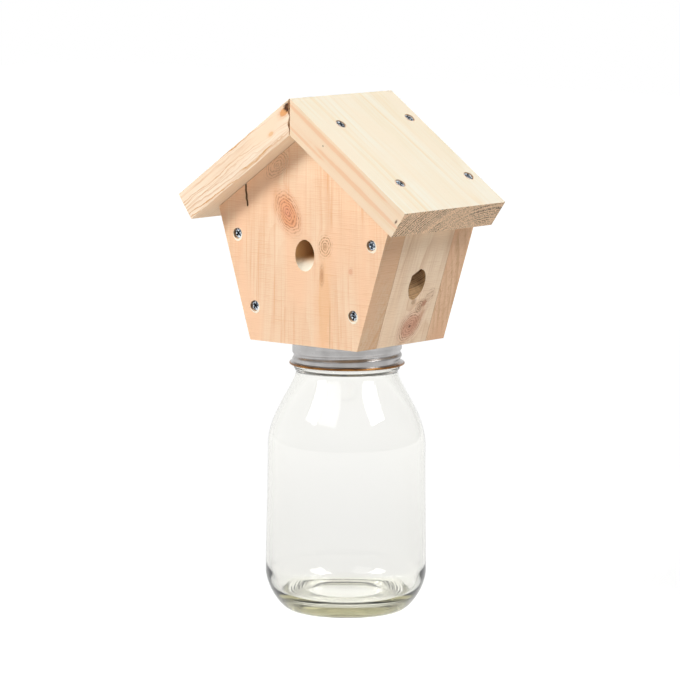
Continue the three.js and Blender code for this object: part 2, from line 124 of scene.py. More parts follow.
class Recipe:
    """Adds nodes to one node tree. Every input is a socket, an amount or a plain value."""

    def __init__(self, tree):
        self.tree = tree

    def put(self, socket, value):
        if isinstance(value, Amount):
            value = value.socket
        if isinstance(value, bpy.types.NodeSocket):
            self.tree.links.new(value, socket)
        elif socket.type == "RGBA":
            socket.default_value = (*value, 1)
        else:
            socket.default_value = value

    def add(self, kind, inputs=(), **settings):
        node = self.tree.nodes.new(kind)
        for name, value in settings.items():
            setattr(node, name, value)
        for name, value in dict(inputs).items():
            self.put(node.inputs[name], value)
        return node

    def read(self, kind, inputs, output=0, **settings):
        return Amount(self, self.add(kind, inputs, **settings).outputs[output])

    def math(self, operation, *values, clamp=False):
        node = self.add("ShaderNodeMath", operation=operation, use_clamp=clamp)
        for socket, value in zip(node.inputs, values):
            self.put(socket, value)
        return Amount(self, node.outputs[0])

    def mix(self, share, first, second, how="MIX"):
        node = self.add("ShaderNodeMix", data_type="RGBA", blend_type=how)
        for index, value in ((0, share), (6, first), (7, second)):
            self.put(node.inputs[index], value)
        return node.outputs[2]

    def ramp(self, value, low, high, to_low=0.0, to_high=1.0, kind="SMOOTHSTEP"):
        return self.read("ShaderNodeMapRange", {
            "Value": value, "From Min": low, "From Max": high, "To Min": to_low, "To Max": to_high},
            interpolation_type=kind)

    def stretched(self, vector, amounts, shift=(0, 0, 0)):
        scaled = self.add("ShaderNodeVectorMath", operation="MULTIPLY_ADD")
        for socket, value in zip(scaled.inputs, (vector, amounts, shift)):
            self.put(socket, value)
        return scaled.outputs[0]

    def noise(self, vector, scale, detail=2.0, roughness=0.5, shift=(0, 0, 0)):
        """Soft noise, as many cells to a unit as the scale says, on all axes or on each one."""
        amounts = scale if isinstance(scale, tuple) else (scale, scale, scale)
        return self.read("ShaderNodeTexNoise", {
            "Vector": self.stretched(vector, amounts, shift), "Scale": 1.0, "Detail": detail,
            "Roughness": roughness})

    def length(self, vector):
        return self.read("ShaderNodeVectorMath", {"Vector": vector}, "Value", operation="LENGTH")

    def along(self, vector, direction):
        """How far a vector reaches along a direction."""
        node = self.add("ShaderNodeVectorMath", operation="DOT_PRODUCT")
        self.put(node.inputs[0], vector)
        self.put(node.inputs[1], direction)
        return Amount(self, node.outputs["Value"])

    def parts(self, vector):
        return [Amount(self, part) for part in self.add("ShaderNodeSeparateXYZ", {"Vector": vector}).outputs]

    def blend(self, share, first, second):
        """One surface over another."""
        node = self.add("ShaderNodeMixShader", {"Fac": share})
        self.put(node.inputs[1], first.outputs[0])
        self.put(node.inputs[2], second.outputs[0])
        return node


class Finish(Recipe):
    """The recipe of one new material."""

    def __init__(self, name):
        self.material = bpy.data.materials.new(name)
        self.material.use_nodes = True
        self.material.node_tree.nodes.clear()
        super().__init__(self.material.node_tree)
        self.output = self.add("ShaderNodeOutputMaterial")
        self.place = self.add("ShaderNodeTexCoord").outputs

    def plug(self, node, into="Surface"):
        self.put(self.output.inputs[into], node.outputs[0])
        return self.material

    def coated(self, colour, roughness, bump=None, **constants):
        """Plugs in a surface. A bump is its height, its strength and its depth."""
        inputs = {"Base Color": colour, "Roughness": roughness}
        if bump:
            bumped = self.add("ShaderNodeBump", dict(zip(("Height", "Strength", "Distance"), bump)))
            inputs["Normal"] = bumped.outputs[0]
        surface = self.add("ShaderNodeBsdfPrincipled", inputs)
        for name, value in constants.items():
            surface.inputs[name.replace("_", " ")].default_value = value
        return self.plug(surface)


def paper_finish():
    """White to the camera, to mirrors and through glass, with a painted shade near the jar where it is seen
    through glass, and pale paper to the lamps.
    """
    paper = Finish("floor_paper")
    rays = paper.add("ShaderNodeLightPath").outputs
    seen = paper.math("MAXIMUM", paper.math("MAXIMUM", rays["Is Camera Ray"], rays["Is Glossy Ray"]),
                      rays["Is Transmission Ray"])
    away = paper.length(paper.place["Object"])
    strength = paper.ramp(away, floor_near, floor_far, floor_near_glow, floor_far_glow)
    # Seen through glass, the floor is painted darker near the jar, as painted shade
    through = paper.ramp(away, 0.1, 0.9, *floor_through_glass)
    strength = strength * paper.ramp(rays["Is Transmission Ray"], 0.0, 1.0, 1.0, through)
    plain = paper.add("ShaderNodeBsdfDiffuse", {"Color": floor_colour})
    glow = paper.add("ShaderNodeEmission", {"Color": white, "Strength": strength})
    return paper.plug(paper.blend(seen * floor_seen_share, plain, glow))


def studio_floor():
    half = floor_size / 2
    mesh = bpy.data.meshes.new("studio_floor")
    corners = [(x * half, y * half, -floor_drop) for x, y in ((-1, -1), (1, -1), (1, 1), (-1, 1))]
    mesh.from_pydata(corners, [], [(0, 1, 2, 3)])
    mesh.materials.append(paper_finish())
    floor = bpy.data.objects.new("studio_floor", mesh)
    bpy.context.scene.collection.objects.link(floor)


def studio_room():
    """White where the camera looks, and softer behind it, where metal and glass mirror the room."""
    room = bpy.data.worlds.new("studio_room")
    room.use_nodes = True
    room.node_tree.nodes.clear()
    recipe = Recipe(room.node_tree)
    rays = recipe.add("ShaderNodeLightPath").outputs
    ray = recipe.add("ShaderNodeTexCoord").outputs["Generated"]
    ahead = recipe.along(ray, -view_back)
    aside = recipe.along(ray, view_right)
    mirrored = recipe.ramp(ahead, -0.5, 0.6, room_behind_camera, 1.0)
    mirrored = mirrored * recipe.ramp(aside, 0.2, 0.9, 1.0, room_on_right)
    through = recipe.ramp(ahead, -0.5, 0.6, *room_through_glass)
    strength = recipe.math("MAXIMUM", room_light, rays["Is Camera Ray"])
    strength = recipe.math("MAXIMUM", strength, mirrored * rays["Is Glossy Ray"])
    strength = recipe.math("MAXIMUM", strength, through * rays["Is Transmission Ray"])
    light = recipe.add("ShaderNodeBackground", {"Color": white, "Strength": strength})
    output = recipe.add("ShaderNodeOutputWorld")
    recipe.put(output.inputs["Surface"], light.outputs[0])
    bpy.context.scene.world = room


def softbox(name, towards, width, height, power, mirrored=True, lighting=True):
    lamp = bpy.data.lights.new(name, "AREA")
    lamp.shape = "RECTANGLE"
    lamp.size = width
    lamp.size_y = height
    lamp.energy = power
    box = bpy.data.objects.new(name, lamp)
    direction = Vector(towards)
    box.location = view_target + direction.normalized() * softbox_distance
    box.rotation_euler = direction.to_track_quat("Z", "Y").to_euler()
    box.visible_glossy = mirrored
    box.visible_diffuse = lighting
    bpy.context.scene.collection.objects.link(box)


studio_floor()
studio_room()
softbox("key_softbox", towards=(-0.52, -1.0, 0.92), width=0.7, height=0.7, power=34.0, mirrored=False)
softbox("strip_softbox", towards=(0.08, -1.08, 1.22), width=0.95, height=1.15, power=5.0, lighting=False)
softbox("fill_softbox", towards=(0.68, 0.09, 0.73), width=0.8, height=1.1, power=27.0)
bpy.context.scene.view_settings.view_transform = "Standard"

# The boards of the house. All seven are planed pine, 19 mm thick, sawn square to the front, so each
# one is an outline seen from the front between two planes, with its sharp edges taken off.
mm = 0.001
full_turn = 2 * math.pi
side_lean = math.radians(17.7)
roof_pitch = math.radians(35.4)
edge_round = 0.45 * mm
flat_face_area = 60 * mm * mm
bore_facets = 72
seat_facets = 28
rag = random.Random(7)

panel_low, panel_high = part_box("front_panel")
rear_low, rear_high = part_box("back_panel")
roof_low, roof_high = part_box("right_roof_board")
side_low, side_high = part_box("right_side_panel")
tray_low, tray_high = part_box("floor_board")
board = panel_high.y - panel_low.y
joint_gap = side_low.y - panel_high.y
house_base = panel_low.z
house_y = (panel_low.y + rear_high.y) / 2
side_foot = side_low.x
house_foot = side_foot + board / math.cos(side_lean)
ridge = roof_high.z + roof_low.x * math.tan(roof_pitch)
roof_run = roof_high.x / math.cos(roof_pitch)
under_ridge = ridge - board / math.cos(roof_pitch)
gable_top = ridge - (board + joint_gap) / math.cos(roof_pitch)


def leaning(half_width, height):
    return half_width + (height - house_base) * math.tan(side_lean)


def below_roof(half_width):
    """Where a leaning face that starts at a half width meets the line under the roof."""
    fall = math.tan(roof_pitch)
    rise = (gable_top - house_base - half_width * fall) / (1 + math.tan(side_lean) * fall)
    return leaning(half_width, house_base + rise), house_base + rise


def skin(mesh, rows, closed=False):
    """Faces between rows of points that each go round, and back to the first row if closed."""
    pairs = list(zip(rows, rows[1:]))
    if closed:
        pairs.append((rows[-1], rows[0]))
    for row, above in pairs:
        for index in range(len(row)):
            after = (index + 1) % len(row)
            mesh.faces.new((row[index], row[after], above[after], above[index]))


def prism(outline, front, back):
    """A closed board as a bmesh, from its outline in x and z, between two planes in y."""
    mesh = bmesh.new()
    near = [mesh.verts.new((x, front, z)) for x, z in outline]
    far = [mesh.verts.new((x, back, z)) for x, z in outline]
    mesh.faces.new(near)
    mesh.faces.new(far)
    skin(mesh, [near, far])
    bmesh.ops.recalc_face_normals(mesh, faces=mesh.faces)
    return mesh


def capped(mesh, rows):
    """Closes a tool that is made of rows of points, and turns its faces outwards."""
    skin(mesh, rows)
    mesh.faces.new(rows[0])
    mesh.faces.new(rows[-1])
    bmesh.ops.recalc_face_normals(mesh, faces=mesh.faces)
    return mesh


def drilled(middle, direction, rings, facets, start=None, lip=None, roughness=0.0, spiral=(0.0, 1.0)):
    """A round cutter along a direction. Each ring is its place along it and its radius. The lip
    shapes its outline, and a spiral is the depth and the feed of the mark that the bit leaves."""
    cutter = bmesh.new()
    direction = direction.normalized()
    first = (start or direction.orthogonal()).normalized()
    second = first.cross(direction)
    depth, feed = spiral
    wander = [1 + roughness * rag.uniform(-1, 1) for _ in range(facets)]
    rows = []
    for along, radius in rings:
        row = []
        for facet in range(facets):
            angle = full_turn * facet / facets
            reach = radius * wander[facet] * (lip(angle) if lip else 1)
            reach += depth * math.sin(angle + along / feed)
            spoke = first * math.cos(angle) + second * math.sin(angle)
            row.append(cutter.verts.new(middle + direction * along + spoke * reach))
        rows.append(row)
    return capped(cutter, rows)


def smoothed(made, sharp):
    """Smooth shading that stops at edges sharper than an angle in degrees."""
    made.data.shade_smooth()
    made.data.set_sharp_from_angle(angle=math.radians(sharp))


def object_of(name, mesh_tool, material=None, sharp=None):
    mesh = bpy.data.meshes.new(name)
    mesh_tool.to_mesh(mesh)
    mesh_tool.free()
    made = bpy.data.objects.new(name, mesh)
    bpy.context.scene.collection.objects.link(made)
    if material:
        mesh.materials.append(material)
    if sharp:
        smoothed(made, sharp)
    return made


def settled(source, name):
    """The object with its modifiers worked in, as a plain mesh, in place of the first one."""
    bpy.context.view_layer.update()
    graph = bpy.context.evaluated_depsgraph_get()
    mesh = bpy.data.meshes.new_from_object(source.evaluated_get(graph), depsgraph=graph)
    made = bpy.data.objects.new(name, mesh)
    bpy.context.scene.collection.objects.link(made)
    bpy.data.objects.remove(source)
    made.name = name
    mesh.name = name
    return made


def cut_from(block, tool):
    cut = block.modifiers.new("cut", "BOOLEAN")
    cut.operation = "DIFFERENCE"
    cut.solver = "EXACT"
    cut.object = tool
    return cut


def boarded(name, solid, cutters, material, splits=()):
    """Cuts a board, takes off its edges, splits it and puts it in the place of its node."""
    block = object_of(name + "_blank", solid, material)
    tools = []

    def cut_with(cutter, inside):
        tools.append(object_of(f"{name}_cut_{len(tools)}", cutter, inside))
        cut_from(block, tools[-1]).material_mode = "TRANSFER"

    for cutter, inside in cutters:
        cut_with(cutter, inside)
    eased = block.modifiers.new("eased", "BEVEL")
    eased.width = edge_round
    eased.segments = 2
    eased.limit_method = "ANGLE"
    eased.angle_limit = math.radians(35)
    for cutter, inside in splits:
        cut_with(cutter, inside)
    made = settled(block, name + "_wood")
    for tool in tools:
        bpy.data.objects.remove(tool)
    smoothed(made, sharp=40)
    for face in made.data.polygons:
        face.use_smooth = face.area < flat_face_area
    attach(made, "house")
    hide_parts(name)
    return made


# What a knot has unless its board says otherwise: its rings over its size, how strongly its body,
# lines and halo show, how far it pushes the grain aside, and how rough its outline is
plain_knot = dict(lean=0, rings=30.0, body=0.8, line=0.5, halo=0.2, swell=4.0, rough=0.3)

# Colours that all the boards share: the flecks, a knot's heart, the end grain, and the painted shade in the
# bores
fleck_brown = (0.36, 0.20, 0.10)
heart_brown = (0.12, 0.05, 0.03)
end_pale = (1.0, 0.69, 0.45)
end_brown = (0.56, 0.35, 0.20)
end_dash_brown = (0.11, 0.055, 0.025)
bore_painted_shade = (0.80, 0.48, 0.22)


def pine(name, middle, grain, outward, tones, pith, drift, ring, seed, knots=(), lines=0.8,
         streaks=0.9, columns=0.6, saw=1.0, thin=0.35, wave=(0.02, 1.6), edge=(1, 1, 1),
         inner=None, lit_lip_paint=None):
    """Planed pine for one board. Its lengths are millimetres from a middle point: across the grain,
    along it and out of the face. Growth rings are cylinders about a pith, which leans by the drift,
    so faces show long stripes and sawn ends show arcs. Knots push the rings aside."""
    wood = Finish(name)
    ramp, mix = wood.ramp, wood.mix
    early, late, blush = tones
    across = grain.cross(outward).normalized()
    spot = wood.add("ShaderNodeMapping", {
        "Vector": wood.place["Object"], "Location": middle,
        "Rotation": Matrix((across, grain, outward)).transposed().to_euler(),
        "Scale": (mm, mm, mm)}, vector_type="TEXTURE").outputs[0]
    x, y, z = wood.parts(spot)
    shift = (seed, seed * 0.6, seed * 1.7)

    def grainy(across_scale, along_scale, detail=2.0, roughness=0.5):
        return wood.noise(spot, (across_scale, along_scale, across_scale), detail, roughness, shift)

    def centred(value, amount):
        return (value - 0.5) * amount

    # Distance from the pith, which wanders slowly
    aside = x - pith[0] + centred(grainy(0.03, 0.006), 7.0)
    down = z - pith[1] + y * drift
    radius = wood.math("SQRT", aside * aside + down * down)
    radius = radius + centred(grainy(0.16, wave[0], 3.0), wave[1])
    rough_edge = grainy(0.17, 0.13, 5.0, 0.45)
    broken = ramp(grainy(0.8, 0.6), 0.36, 0.58, 0.25, 1.0)
    uneasy = centred(grainy(0.33, 0.22, 3.0), 7.0)
    seen_knots = []
    for knot in knots:
        knot = {**plain_knot, **knot}
        reach = wood.length(wood.add("ShaderNodeMapping", {
            "Vector": spot, "Location": knot["at"], "Scale": knot["size"],
            "Rotation": (0, 0, -math.radians(knot["lean"]))}, vector_type="TEXTURE").outputs[0])
        swell = wood.math("POWER", math.e, reach * reach * -0.45)
        radius = radius + swell * knot["swell"]
        seen_knots.append((knot, reach + centred(rough_edge, knot["rough"])))

    # Each ring is pale early wood that darkens slowly and ends in a thin line of late wood
    uneven = wood.read("ShaderNodeTexNoise", {"W": radius * (0.4 / ring), "Scale": 1.0, "Detail": 1.0},
                       noise_dimensions="1D")
    turns = radius / ring + uneven * 2.2
    within = wood.math("FRACT", turns)
    own = wood.read("ShaderNodeTexWhiteNoise", {"W": wood.math("FLOOR", turns)}, noise_dimensions="1D")
    late_line = ramp(within, thin, 0.94) * ramp(within, 0.94, 1.0, 1.0, 0.0)
    late_line = late_line * ramp(own, 0.0, 1.0, 0.25, 1.0, kind="LINEAR")

    # Fibres, broader columns, patches and dark hairlines run with the grain
    fibre = grainy(1.25, 0.03, 4.0, 0.65)
    patch = grainy(0.05, 0.02, 3.0)
    hair = grainy(0.55, 0.008)
    hairline = ramp(hair, 0.54, 0.62) * ramp(hair, 0.62, 0.66, 1.0, 0.0)
    share = late_line * lines + centred(fibre, streaks) + centred(grainy(0.16, 0.004, 3.0), columns)
    share = share + centred(patch, 0.7) + hairline * (streaks * 0.55)
    colour = mix(wood.math("ADD", share, 0.14, clamp=True), early, late)
    cloud = wood.noise(spot, (0.035, 0.012, 0.035), shift=(seed, 9, seed))
    colour = mix(ramp(cloud, 0.42, 0.66), colour, blush)
    colour = mix(ramp(grainy(2.4, 0.2), 0.68, 0.80) * 0.16, colour, fleck_brown)

    # The saw leaves fine lines square to the grain, stronger in patches
    rows = grainy(0.03, 0.5, 3.0, 0.6)
    tooth = wood.math("SINE", y * 5.4 + rows * 16.0)
    row_line = ramp(tooth, 0.0, 0.95) * ramp(rows, 0.38, 0.62, 0.45, 1.0)
    row_line = row_line * ramp(patch, 0.36, 0.56, 0.4, 1.0)
    colour = mix(row_line * (0.22 * saw), colour, late)

    for knot, reach in seen_knots:
        pulse = wood.math("SINE", reach * knot["rings"] + uneasy)
        line = ramp(pulse, -0.4, 1.0) * ramp(reach, 1.0, 1.7, 1.0, 0.0) * broken
        colour = mix(ramp(reach, 0.8, 2.1, knot["halo"], 0.0), colour, knot["tone"])
        colour = mix(ramp(reach, 0.75, 1.08, knot["body"], 0.0), colour, knot["tone"])
        if "core" in knot:
            colour = mix(ramp(reach, 0.15, 0.62, 0.75, 0.0), colour, knot["core"])
        colour = mix(line * knot["line"], colour, knot["dark"])
        if "heart" in knot:
            heart = ramp(reach, knot["heart"] * 0.5, knot["heart"] * 1.4, 0.9, 0.0)
            colour = mix(heart, colour, heart_brown)

    # Sawn edges are a little darker than the planed face, and the inner face may be painted paler, as
    # painted light from below
    facing = wood.place["Normal"]
    sawn = ramp(wood.math("ABSOLUTE", wood.along(facing, across)), 0.55, 0.80)
    colour = mix(sawn, colour, mix(1.0, colour, edge, how="MULTIPLY"))
    if inner:
        colour = mix(ramp(wood.along(facing, -outward), 0.55, 0.80, 0.0, 0.75), colour, inner)

    # Sawn ends are darker and speckled, and their late wood breaks up into short dark dashes
    end = ramp(wood.math("ABSOLUTE", wood.along(facing, grain)), 0.60, 0.85)
    pores = grainy(1.1, 1.1, 3.0, 0.7)
    end_colour = mix(ramp(pores, 0.38, 0.64), end_pale, end_brown)
    dash = ramp(wood.math("FRACT", turns * 2.0), 0.45, 0.70) * ramp(pores, 0.40, 0.50)
    crowd = ramp(grainy(0.07, 0.07, 1.0), 0.44, 0.56, 0.35, 1.0)
    end_colour = mix(dash * crowd, end_colour, end_dash_brown)
    colour = mix(end * 0.88, colour, end_colour)

    # A bore is painted darker above its mouth's foot and towards one side, as painted shade, and painted
    # pale where the light falls on its lip, as a painted highlight
    if lit_lip_paint:
        rise = y * grain.z + z * outward.z
        painted_bore_shade = wood.math("MAXIMUM", ramp(rise, -3.0, 3.5, 0.7, 0.0), ramp(x, 1.0, 8.0, 0.0, 0.85))
        colour = mix(painted_bore_shade, colour, bore_painted_shade)
        colour = mix(ramp(rise, -7.4, -0.4, 1.0, 0.0), colour, lit_lip_paint)

    # The late wood stands a little proud of the planed face, and ends are rough
    height = late_line * 0.25 + fibre * 0.45 + row_line * (-0.5 * saw) + pores * end * 2.5
    return wood.coated(colour, ramp(fibre, 0.3, 0.7, 0.58, 0.72), (height, 0.35, 0.12 * mm),
                       Specular_IOR_Level=0.25)


# Front panel. A gabled board with upright grain, bored for one entry and held by four screws. Its
# knots, its saw marks and a short dry split at the upper left are all on the planed face.
upright = Vector((0, 0, 1))
to_front = Vector((0, -1, 0))
front_foot = Vector((0, panel_low.y, house_base))
entry_radius = 8 * mm
entry_climb = math.radians(38)
entry_steps = 240
bit_mark = (0.09 * mm, 0.17 * mm)
front_entry = Vector((1.2 * mm, panel_low.y, house_base + 58.2 * mm))
screw_rises = (22.5 * mm, 68.6 * mm)
screw_inset = 10.8 * mm
screw_head_radius = 3.25 * mm
seat_radius = 3.6 * mm
pilot_radius = 2.05 * mm
pilot_depth = 34 * mm
cone_radius = 3.32 * mm
cone_height = 2.2 * mm
seat_overrun = 3 * mm
head_sunk = 1.0 * mm
split_depth = 4 * mm
split_overrun = 1 * mm
warm_pine = ((0.93, 0.68, 0.475), (0.82, 0.465, 0.26), (0.95, 0.615, 0.40))
front_knots = [
    dict(at=(-13.2, 84.8, 0), size=(6.6, 11.2, 60), lean=-30, tone=(0.80, 0.36, 0.18),
         dark=(0.40, 0.12, 0.05), body=0.7, line=0.7, halo=0.4, swell=7.0, rough=0.5,
         core=(0.78, 0.36, 0.22)),
    dict(at=(18.0, 65.2, 0), size=(4.2, 5.2, 60), lean=8, tone=(0.84, 0.54, 0.34),
         dark=(0.38, 0.17, 0.08), rings=18.0, body=0.45, line=0.85, halo=0.15, rough=0.2,
         core=(0.60, 0.33, 0.19)),
    dict(at=(-22.0, 115.0, 0), size=(5.2, 9.0, 60), lean=48, tone=(0.88, 0.62, 0.42),
         dark=(0.42, 0.22, 0.12), rings=22.0, body=0.1, halo=0.1, rough=0.8),
    dict(at=(17.5, 26.0, 0), size=(4.8, 28.0, 20), tone=(0.84, 0.47, 0.22),
         dark=(0.84, 0.47, 0.22), rings=1.0, body=0.3, line=0.0, swell=0.0, rough=1.2),
    dict(at=(15.4, 46.5, 0), size=(1.4, 5.0, 20), tone=(0.58, 0.28, 0.14),
         dark=(0.46, 0.22, 0.13), rings=6.0, body=0.5, line=0.4, halo=0.25, swell=1.0, rough=0.6),
    dict(at=(22.3, 12.0, 0), size=(0.5, 16.0, 20), tone=(0.60, 0.33, 0.18),
         dark=(0.60, 0.33, 0.18), rings=1.0, body=0.55, line=0.0, halo=0.0, swell=0.0),
    dict(at=(39.2, 50.8, 0), size=(1.6, 2.0, 20), tone=(0.80, 0.40, 0.24),
         dark=(0.60, 0.28, 0.16), rings=12.0, body=0.6, line=0.3, halo=0.15, swell=1.0),
]
front_pine = pine("pine_front", front_foot, upright, to_front, warm_pine, pith=(-6.0, -62.0),
                  drift=0.04, ring=2.9, seed=3.1, knots=front_knots, lines=0.45, columns=0.3,
                  saw=2.4, edge=(0.80, 0.79, 0.76))
entry_in = Vector((0, math.cos(entry_climb), math.sin(entry_climb)))
# The entry's wood takes dark tones as painted shade inside the hole, and a painted pale lip as a painted
# highlight
bore_pine = pine("pine_bore_painted_shade", front_entry, -entry_in, entry_in.cross(Vector((-1, 0, 0))),
                 ((0.50, 0.24, 0.07), (0.30, 0.12, 0.03), (0.46, 0.20, 0.05)), pith=(0.0, 40.0),
                 drift=0.0, ring=2.4, seed=51.0, saw=3.0, lit_lip_paint=(0.98, 0.90, 0.74))
# Dark pine for the walls of the screw seats and of the dry split, as painted shade in these recesses
seat_pine = pine("pine_seat", front_foot, upright, to_front,
                 ((0.40, 0.25, 0.14), (0.26, 0.15, 0.08), (0.40, 0.25, 0.14)), pith=(0.0, -70.0),
                 drift=0.1, ring=2.0, seed=47.0)
# Pale pine for the burrs round the screws: partly torn fibres, partly a painted highlight for the lit lower
# wall of each seat
torn_pine = pine("pine_torn", front_foot, upright, to_front,
                 ((1.0, 0.93, 0.80), (0.96, 0.82, 0.64), (0.98, 0.88, 0.72)), pith=(0.0, -70.0),
                 drift=0.1, ring=2.0, seed=44.0)


def gable():
    eave_x, eave_z = below_roof(house_foot)
    return [(-house_foot, house_base), (house_foot, house_base), (eave_x, eave_z), (0, gable_top),
            (-eave_x, eave_z)]


def panel_screw_places(face, outward):
    """Head and outward direction of the four screws of the front or back panel."""
    places = []
    for rise in screw_rises:
        for side in (-1, 1):
            head_x = side * (leaning(house_foot, house_base + rise) - screw_inset)
            places.append((Vector((head_x, face, house_base + rise)), outward))
    return places


front_screws = panel_screw_places(panel_low.y, to_front)
back_screws = panel_screw_places(rear_high.y, -to_front)


def screw_seats(places, sunk=head_sunk):
    """Cutters for the countersunk holes, whose heads lie a little below the face. Their walls take dark
    pine, as painted shade.
    """
    rings = [(-pilot_depth, pilot_radius), (-sunk - cone_height, pilot_radius), (-sunk, cone_radius),
             (0, seat_radius), (seat_overrun, seat_radius * 1.03)]
    return [(drilled(head, outward, rings, seat_facets, roughness=0.025), seat_pine)
            for head, outward in places]


def entry_cutter(middle, inwards, start, lip=None):
    """The bit leaves a fine spiral in the wall of the bore."""
    reach = (board + 2 * entry_radius) / math.cos(entry_climb + side_lean)
    rings = [(reach * (2 * step / entry_steps - 1), entry_radius) for step in range(entry_steps + 1)]
    return drilled(middle, inwards, rings, bore_facets, start, lip, 0.0012, bit_mark)


split_outline = [
    (-50.2, 104.0), (-49.4, 99.5), (-49.6, 97.0), (-48.9, 94.0), (-49.1, 91.8), (-48.2, 89.8),
    (-47.9, 87.4), (-47.2, 86.3), (-46.6, 87.6), (-46.8, 89.9), (-47.4, 91.6), (-47.3, 94.2),
    (-48.0, 97.0), (-47.9, 99.5), (-48.8, 104.0),
]
# The split's inside takes the dark pine, as painted shade
dry_split = prism([(x * mm, house_base + z * mm) for x, z in split_outline],
                  panel_low.y - split_overrun, panel_low.y + split_depth)
boarded("front_panel", prism(gable(), panel_low.y, panel_high.y),
        [(entry_cutter(front_entry, entry_in, Vector((1, 0, 0))), bore_pine)]
        + screw_seats(front_screws), front_pine, [(dry_split, seat_pine)])

# Back panel. The same gable, without an entry, so that it can lie against a post. It is pine with
# two knots, held like the front panel by four screws.
back_knots = [
    dict(at=(22.0, 72.0, 0), size=(5.5, 8.5, 60), lean=14, tone=(0.80, 0.46, 0.26),
         dark=(0.60, 0.30, 0.16), rings=32.0, body=0.7, swell=6.0),
    dict(at=(-26.0, 34.0, 0), size=(3.5, 4.5, 60), tone=(0.84, 0.52, 0.32),
         dark=(0.60, 0.34, 0.20), rings=20.0, body=0.4, swell=3.0),
]
back_pine = pine("pine_back", Vector((0, rear_high.y, house_base)), upright, -to_front,
                 ((0.88, 0.63, 0.44), (0.66, 0.41, 0.25), (0.82, 0.52, 0.34)), pith=(14.0, -66.0),
                 drift=-0.05, ring=3.8, seed=8.4, knots=back_knots, edge=(0.98, 0.93, 0.88))
boarded("back_panel", prism(gable(), rear_low.y, rear_high.y), screw_seats(back_screws), back_pine)

# Side panels. Each leans out under the eaves between the front and back panels, with one entry.
# They are held by the screws that come through the front and back panels.
side_entry_rise = 42.5 * mm
side_pine_tones = ((0.95, 0.75, 0.55), (0.76, 0.52, 0.34), (0.95, 0.71, 0.50))
# Dark tones for the wood inside the side entries, as painted shade in the holes
side_bore_tones = ((0.66, 0.42, 0.22), (0.16, 0.08, 0.03), (0.58, 0.35, 0.17))
side_knots = {
    1: [dict(at=(15.0, 31.0, 0), size=(2.6, 7.5, 30), lean=46, tone=(0.64, 0.40, 0.24),
             dark=(0.40, 0.20, 0.11), rings=11.0, body=0.25, halo=0.1, swell=0.5, rough=2.2),
        dict(at=(4.0, 12.6, 0), size=(7.2, 8.8, 60), lean=46, tone=(0.68, 0.36, 0.24),
             dark=(0.34, 0.12, 0.07), rings=28.0, body=0.75, line=0.8, halo=0.3, swell=6.0,
             heart=0.14, rough=0.25),
        dict(at=(10.2, 16.5, 0), size=(2.0, 9.0, 60), lean=40, tone=(0.58, 0.30, 0.19),
             dark=(0.42, 0.2, 0.12), rings=5.0, body=0.4, line=0.2, halo=0.25, swell=1.0, rough=1.0),
        dict(at=(8.9, 26.0, 0), size=(2.9, 3.2, 60), lean=50, tone=(0.64, 0.40, 0.26),
             dark=(0.28, 0.14, 0.08), rings=12.0, body=0.5, line=0.9, swell=3.0),
        dict(at=(13.2, 27.8, 0), size=(1.6, 2.2, 30), lean=40, tone=(0.48, 0.22, 0.14),
             dark=(0.34, 0.14, 0.08), rings=7.0, body=0.65, line=0.4, swell=0.5, rough=0.8),
        dict(at=(1.5, 30.0, 0), size=(1.9, 1.9, 30), tone=(0.50, 0.30, 0.18),
             dark=(0.34, 0.18, 0.10), rings=9.0, body=0.5, line=0.4, swell=0.5, rough=1.0)],
    -1: [dict(at=(-10.0, 66.0, 0), size=(5.0, 7.5, 60), lean=18, tone=(0.74, 0.42, 0.27),
              dark=(0.50, 0.24, 0.14), body=0.7, halo=0.3, swell=6.0)],
}


def side_outline(side):
    outline = [(side_foot, house_base), (house_foot, house_base), below_roof(house_foot),
               below_roof(side_foot)]
    return [(side * x, z) for x, z in outline]


def torn_lip(angle):
    """The right entry's edge broke off straight at its upper front, and bulges at its foot."""
    degrees = math.degrees(angle) % 360
    reach = 1.0
    if 87 <= degrees <= 148:
        reach = 0.948 / math.cos(math.radians(degrees - 113.6))
    elif 148 < degrees < 160:
        reach = 1.0 + 0.12 * (160 - degrees) / 12
    elif 215 < degrees < 310:
        reach = 1.0 + 0.08 * math.sin(math.radians((degrees - 215) / 95 * 180))
    return reach


for side, word in ((1, "right"), (-1, "left")):
    up_slope = Vector((side * math.sin(side_lean), 0, math.cos(side_lean)))
    out = Vector((side * math.cos(side_lean), 0, -math.sin(side_lean)))
    foot_middle = Vector((side * house_foot, house_y, house_base))
    side_pine = pine(f"pine_{word}_side", foot_middle, up_slope, out, side_pine_tones,
                     pith=(side * 14.0, -55.0), drift=0.05, ring=3.6, seed=12.3 + side,
                     knots=side_knots[side], saw=2.4)
    steep = side_lean + entry_climb
    bore_in = Vector((-side * math.cos(steep), 0, math.sin(steep)))
    bore_up = Vector((side * math.sin(steep), 0, math.cos(steep)))
    mouth = foot_middle + up_slope * side_entry_rise
    side_bore_pine = pine(f"pine_{word}_bore", mouth, -bore_in, bore_up, side_bore_tones,
                          pith=(0.0, 40.0), drift=0.0, ring=2.4, seed=61.0, lines=0.2,
                          streaks=0.4, columns=0.2, saw=7.0)
    bore = entry_cutter(mouth, bore_in, Vector((0, side, 0)), torn_lip if side > 0 else None)
    boarded(f"{word}_side_panel", prism(side_outline(side), side_low.y, side_high.y),
            [(bore, side_bore_pine)] + screw_seats(front_screws + back_screws), side_pine)

